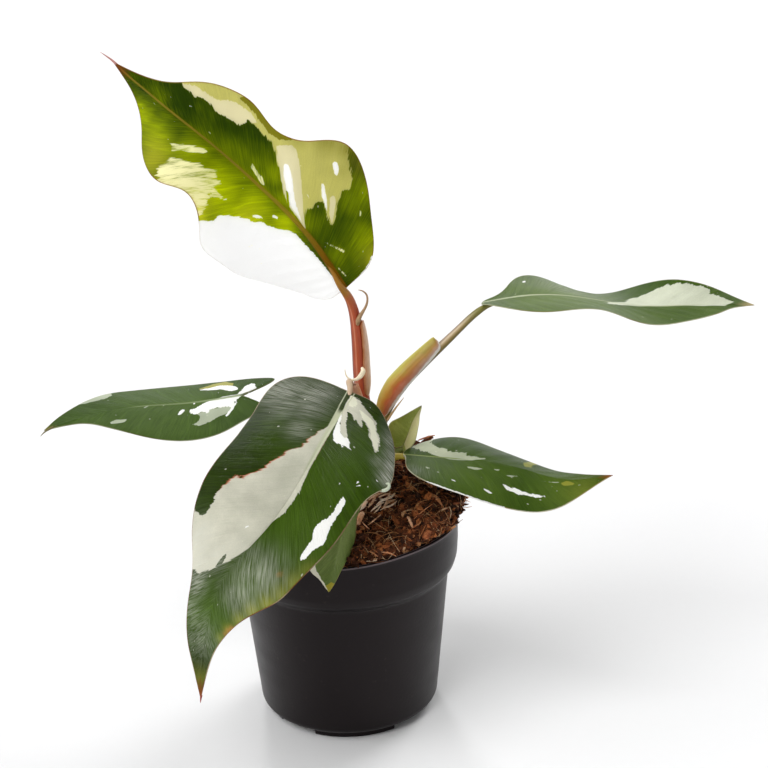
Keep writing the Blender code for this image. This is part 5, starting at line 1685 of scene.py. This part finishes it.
def make_scraps():
    """Larger bits of bark, husk and straw on the mix: flat slivers along short paths."""
    draw = random.Random(8)
    pile = Pile()
    shell = tube_faces(SCRAP_RINGS, SCRAP_SIDES)
    for path, wide, thick, blunt, tone in SCRAPS:
        centre, share = smooth_path(path, SCRAP_RINGS)[:2]
        side, third = path_frames(centre, (0.0, 0.0, 1.0))[1:]
        grown = blunt + (1 - blunt) * np.sin(math.pi * (0.06 + 0.88 * share))
        turn = turns(SCRAP_SIDES)
        rough = np.array([[draw.uniform(0.75, 1.2) for _ in turn] for _ in share])
        size = (grown[:, None] * rough)[..., None]
        way = (np.sin(turn)[None, :, None] * thick * side[:, None]
               + np.cos(turn)[None, :, None] * wide * third[:, None])
        body = (centre[:, None] + size * way).reshape(-1, 3)
        pile.add(body, shell, tone + draw.uniform(-0.06, 0.06))
    pile.finish("scraps", SCRAP_TONES, dusty=0.1, crisp=60)


def stem_material():
    paint = Paint("stem")
    run = paint.read("run", "Vector")
    line = paint.grain(run, (0.12, 1.4, 1.0), 1.0, 4.0)
    patch = paint.rise(paint.grain(run, (0.14, 0.2, 1.0), 1.0, 3.0), -0.2, 0.6)
    colour = paint.mix(patch, linear((96, 104, 40)), linear((150, 112, 62)))
    paint.bump(line, 0.5, 0.0004)
    paint.set(Base_Color=paint.shade(colour, paint.total(1.0, (line, 0.18))), Roughness=0.55,
              Specular_IOR_Level=0.35)
    return paint.material


def make_stem():
    """The short stem, ringed where old leaves grew."""
    points, share, marks = smooth_path(STEM_PATH, STEM_RINGS)
    radii = through(marks, STEM_RADII, share)
    for place in RINGED_AT:
        radii = radii + 0.45 * np.exp(-((share - place) / 0.012) ** 2)
    radii[-3:] *= np.array([0.92, 0.7, 0.3])
    body, faces = tube_mesh(points, radii, STEM_SIDES)
    run = np.column_stack([np.repeat(share * STEM_LENGTH, STEM_SIDES),
                           np.tile(turns(STEM_SIDES) * 5, STEM_RINGS), np.zeros(len(body))])
    piece = add_piece("Stem_fine", body, faces, stem_material(), {"run": run})
    hand_over(piece, "stem", "Stem")


def make_threads():
    """The hook and the other thin loose ends."""
    for name, slot, path, radii, colour in THREADS:
        points, share, marks = smooth_path(path, THREAD_RINGS)
        radii = np.interp(share, marks, radii)
        paint = Paint(name)
        spot = paint.grain(paint.place(), (0.8, 0.8, 0.8), 1.0, 3.0)
        tint = paint.shade(linear(colour), paint.total(1.0, (spot, 0.15)))
        paint.bump(spot, 0.2, 0.0002)
        paint.set(Base_Color=tint, Roughness=0.5)
        paint.glow(tint, 0.25)
        body, faces = tube_mesh(points, radii, THREAD_SIDES)
        hand_over(add_piece(name, body, faces, paint.material), slot)


def make_floor():
    mesh = bpy.data.meshes.new("Floor")
    corners = [(-1, -1), (1, -1), (1, 1), (-1, 1)]
    points = [(x * FLOOR_REACH, y * FLOOR_REACH, FLOOR_HEIGHT) for x, y in corners]
    mesh.from_pydata(points, [], [(0, 1, 2, 3)])
    paint = Paint("pale floor")
    where = paint.add("ShaderNodeTexCoord", {}, 3)
    tooth = paint.grain(where, (260.0, 260.0, 260.0), 1.0, 3.0)
    tint = paint.shade((0.76, 0.76, 0.765), paint.total(1.0, (tooth, 0.004)))
    paint.set(Base_Color=tint, Roughness=0.75, Specular_IOR_Level=0.1)
    mesh.materials.append(paint.material)
    add_object("Floor", mesh)


def make_sun(name, towards, width, strength):
    """A soft light from far off: where it stands, its width in degrees and its strength."""
    lamp = bpy.data.lights.new(name, "SUN")
    lamp.angle = math.radians(width)
    lamp.energy = strength
    turn = (-Vector(towards)).to_track_quat("-Z", "Y")
    add_object(name, lamp).rotation_euler = turn.to_euler()


def make_light():
    """A bright wall behind the plant, a dimmer room round it and four soft lights."""
    world = bpy.data.worlds.new("studio")
    bpy.context.scene.world = world
    world.use_nodes = True
    nodes = world.node_tree.nodes
    links = world.node_tree.links
    split = nodes.new("ShaderNodeSeparateXYZ")
    links.new(nodes.new("ShaderNodeTexCoord").outputs["Generated"], split.inputs[0])

    def part(axis, low, high, start, stop):
        span = nodes.new("ShaderNodeMapRange")
        span.interpolation_type = "SMOOTHSTEP"
        links.new(split.outputs[axis], span.inputs[0])
        for index, value in enumerate((low, high, start, stop), 1):
            span.inputs[index].default_value = value
        return span.outputs[0]

    def join(operation, a, b):
        node = nodes.new("ShaderNodeMath")
        node.operation = operation
        links.new(a, node.inputs[0])
        links.new(b, node.inputs[1])
        return node.outputs[0]

    wall = join("MULTIPLY", part("Y", 0.35, 0.8, 0.0, 1.25), part("Z", 0.15, 0.5, 1.0, 0.0))
    sides = join("ADD", part("X", -0.9, -0.4, 0.5, 0.0), part("X", 0.5, 0.95, 0.0, 0.5))
    level = join("ADD", join("ADD", wall, sides), part("Z", 0.5, 1.0, 0.26, 0.22))
    links.new(level, nodes["Background"].inputs["Strength"])
    nodes["Background"].inputs["Color"].default_value = (1.0, 1.0, 1.0, 1.0)
    for sun in SUNS:
        make_sun(*sun)


def make_camera():
    camera = bpy.data.cameras.new("camera")
    camera.lens = LENS
    camera.sensor_width = SENSOR
    camera.clip_start = 0.01
    thing = add_object("camera", camera)
    pitch = math.radians(CAMERA_PITCH)
    roll = math.radians(CAMERA_ROLL)
    forward = Vector((0, math.cos(pitch), -math.sin(pitch)))
    level = Vector((1, 0, 0))
    upright = level.cross(forward)
    right = math.cos(roll) * level + math.sin(roll) * upright
    top = -math.sin(roll) * level + math.cos(roll) * upright
    turn = Matrix((right, top, -forward)).transposed()
    thing.matrix_world = Matrix.Translation(CAMERA_AT) @ turn.to_4x4()
    bpy.context.scene.camera = thing


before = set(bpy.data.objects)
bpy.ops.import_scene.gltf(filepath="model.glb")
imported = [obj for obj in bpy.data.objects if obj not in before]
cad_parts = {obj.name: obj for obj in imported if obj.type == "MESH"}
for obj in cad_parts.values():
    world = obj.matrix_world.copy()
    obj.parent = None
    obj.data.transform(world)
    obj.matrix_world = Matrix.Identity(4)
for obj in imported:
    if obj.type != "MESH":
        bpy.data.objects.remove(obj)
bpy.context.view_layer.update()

make_camera()
make_light()
make_floor()
bpy.context.scene.view_settings.view_transform = "Standard"
make_pot()
mix = make_soil()
make_crumbs(mix)
make_fibres(mix)
make_chips(mix)
make_scraps()
make_stem()
for count, key in enumerate(LEAVES):
    make_stalk(key, count, make_blade(key, count))
for count, key in enumerate(SHEATHS):
    make_sheath(key, count)
make_threads()
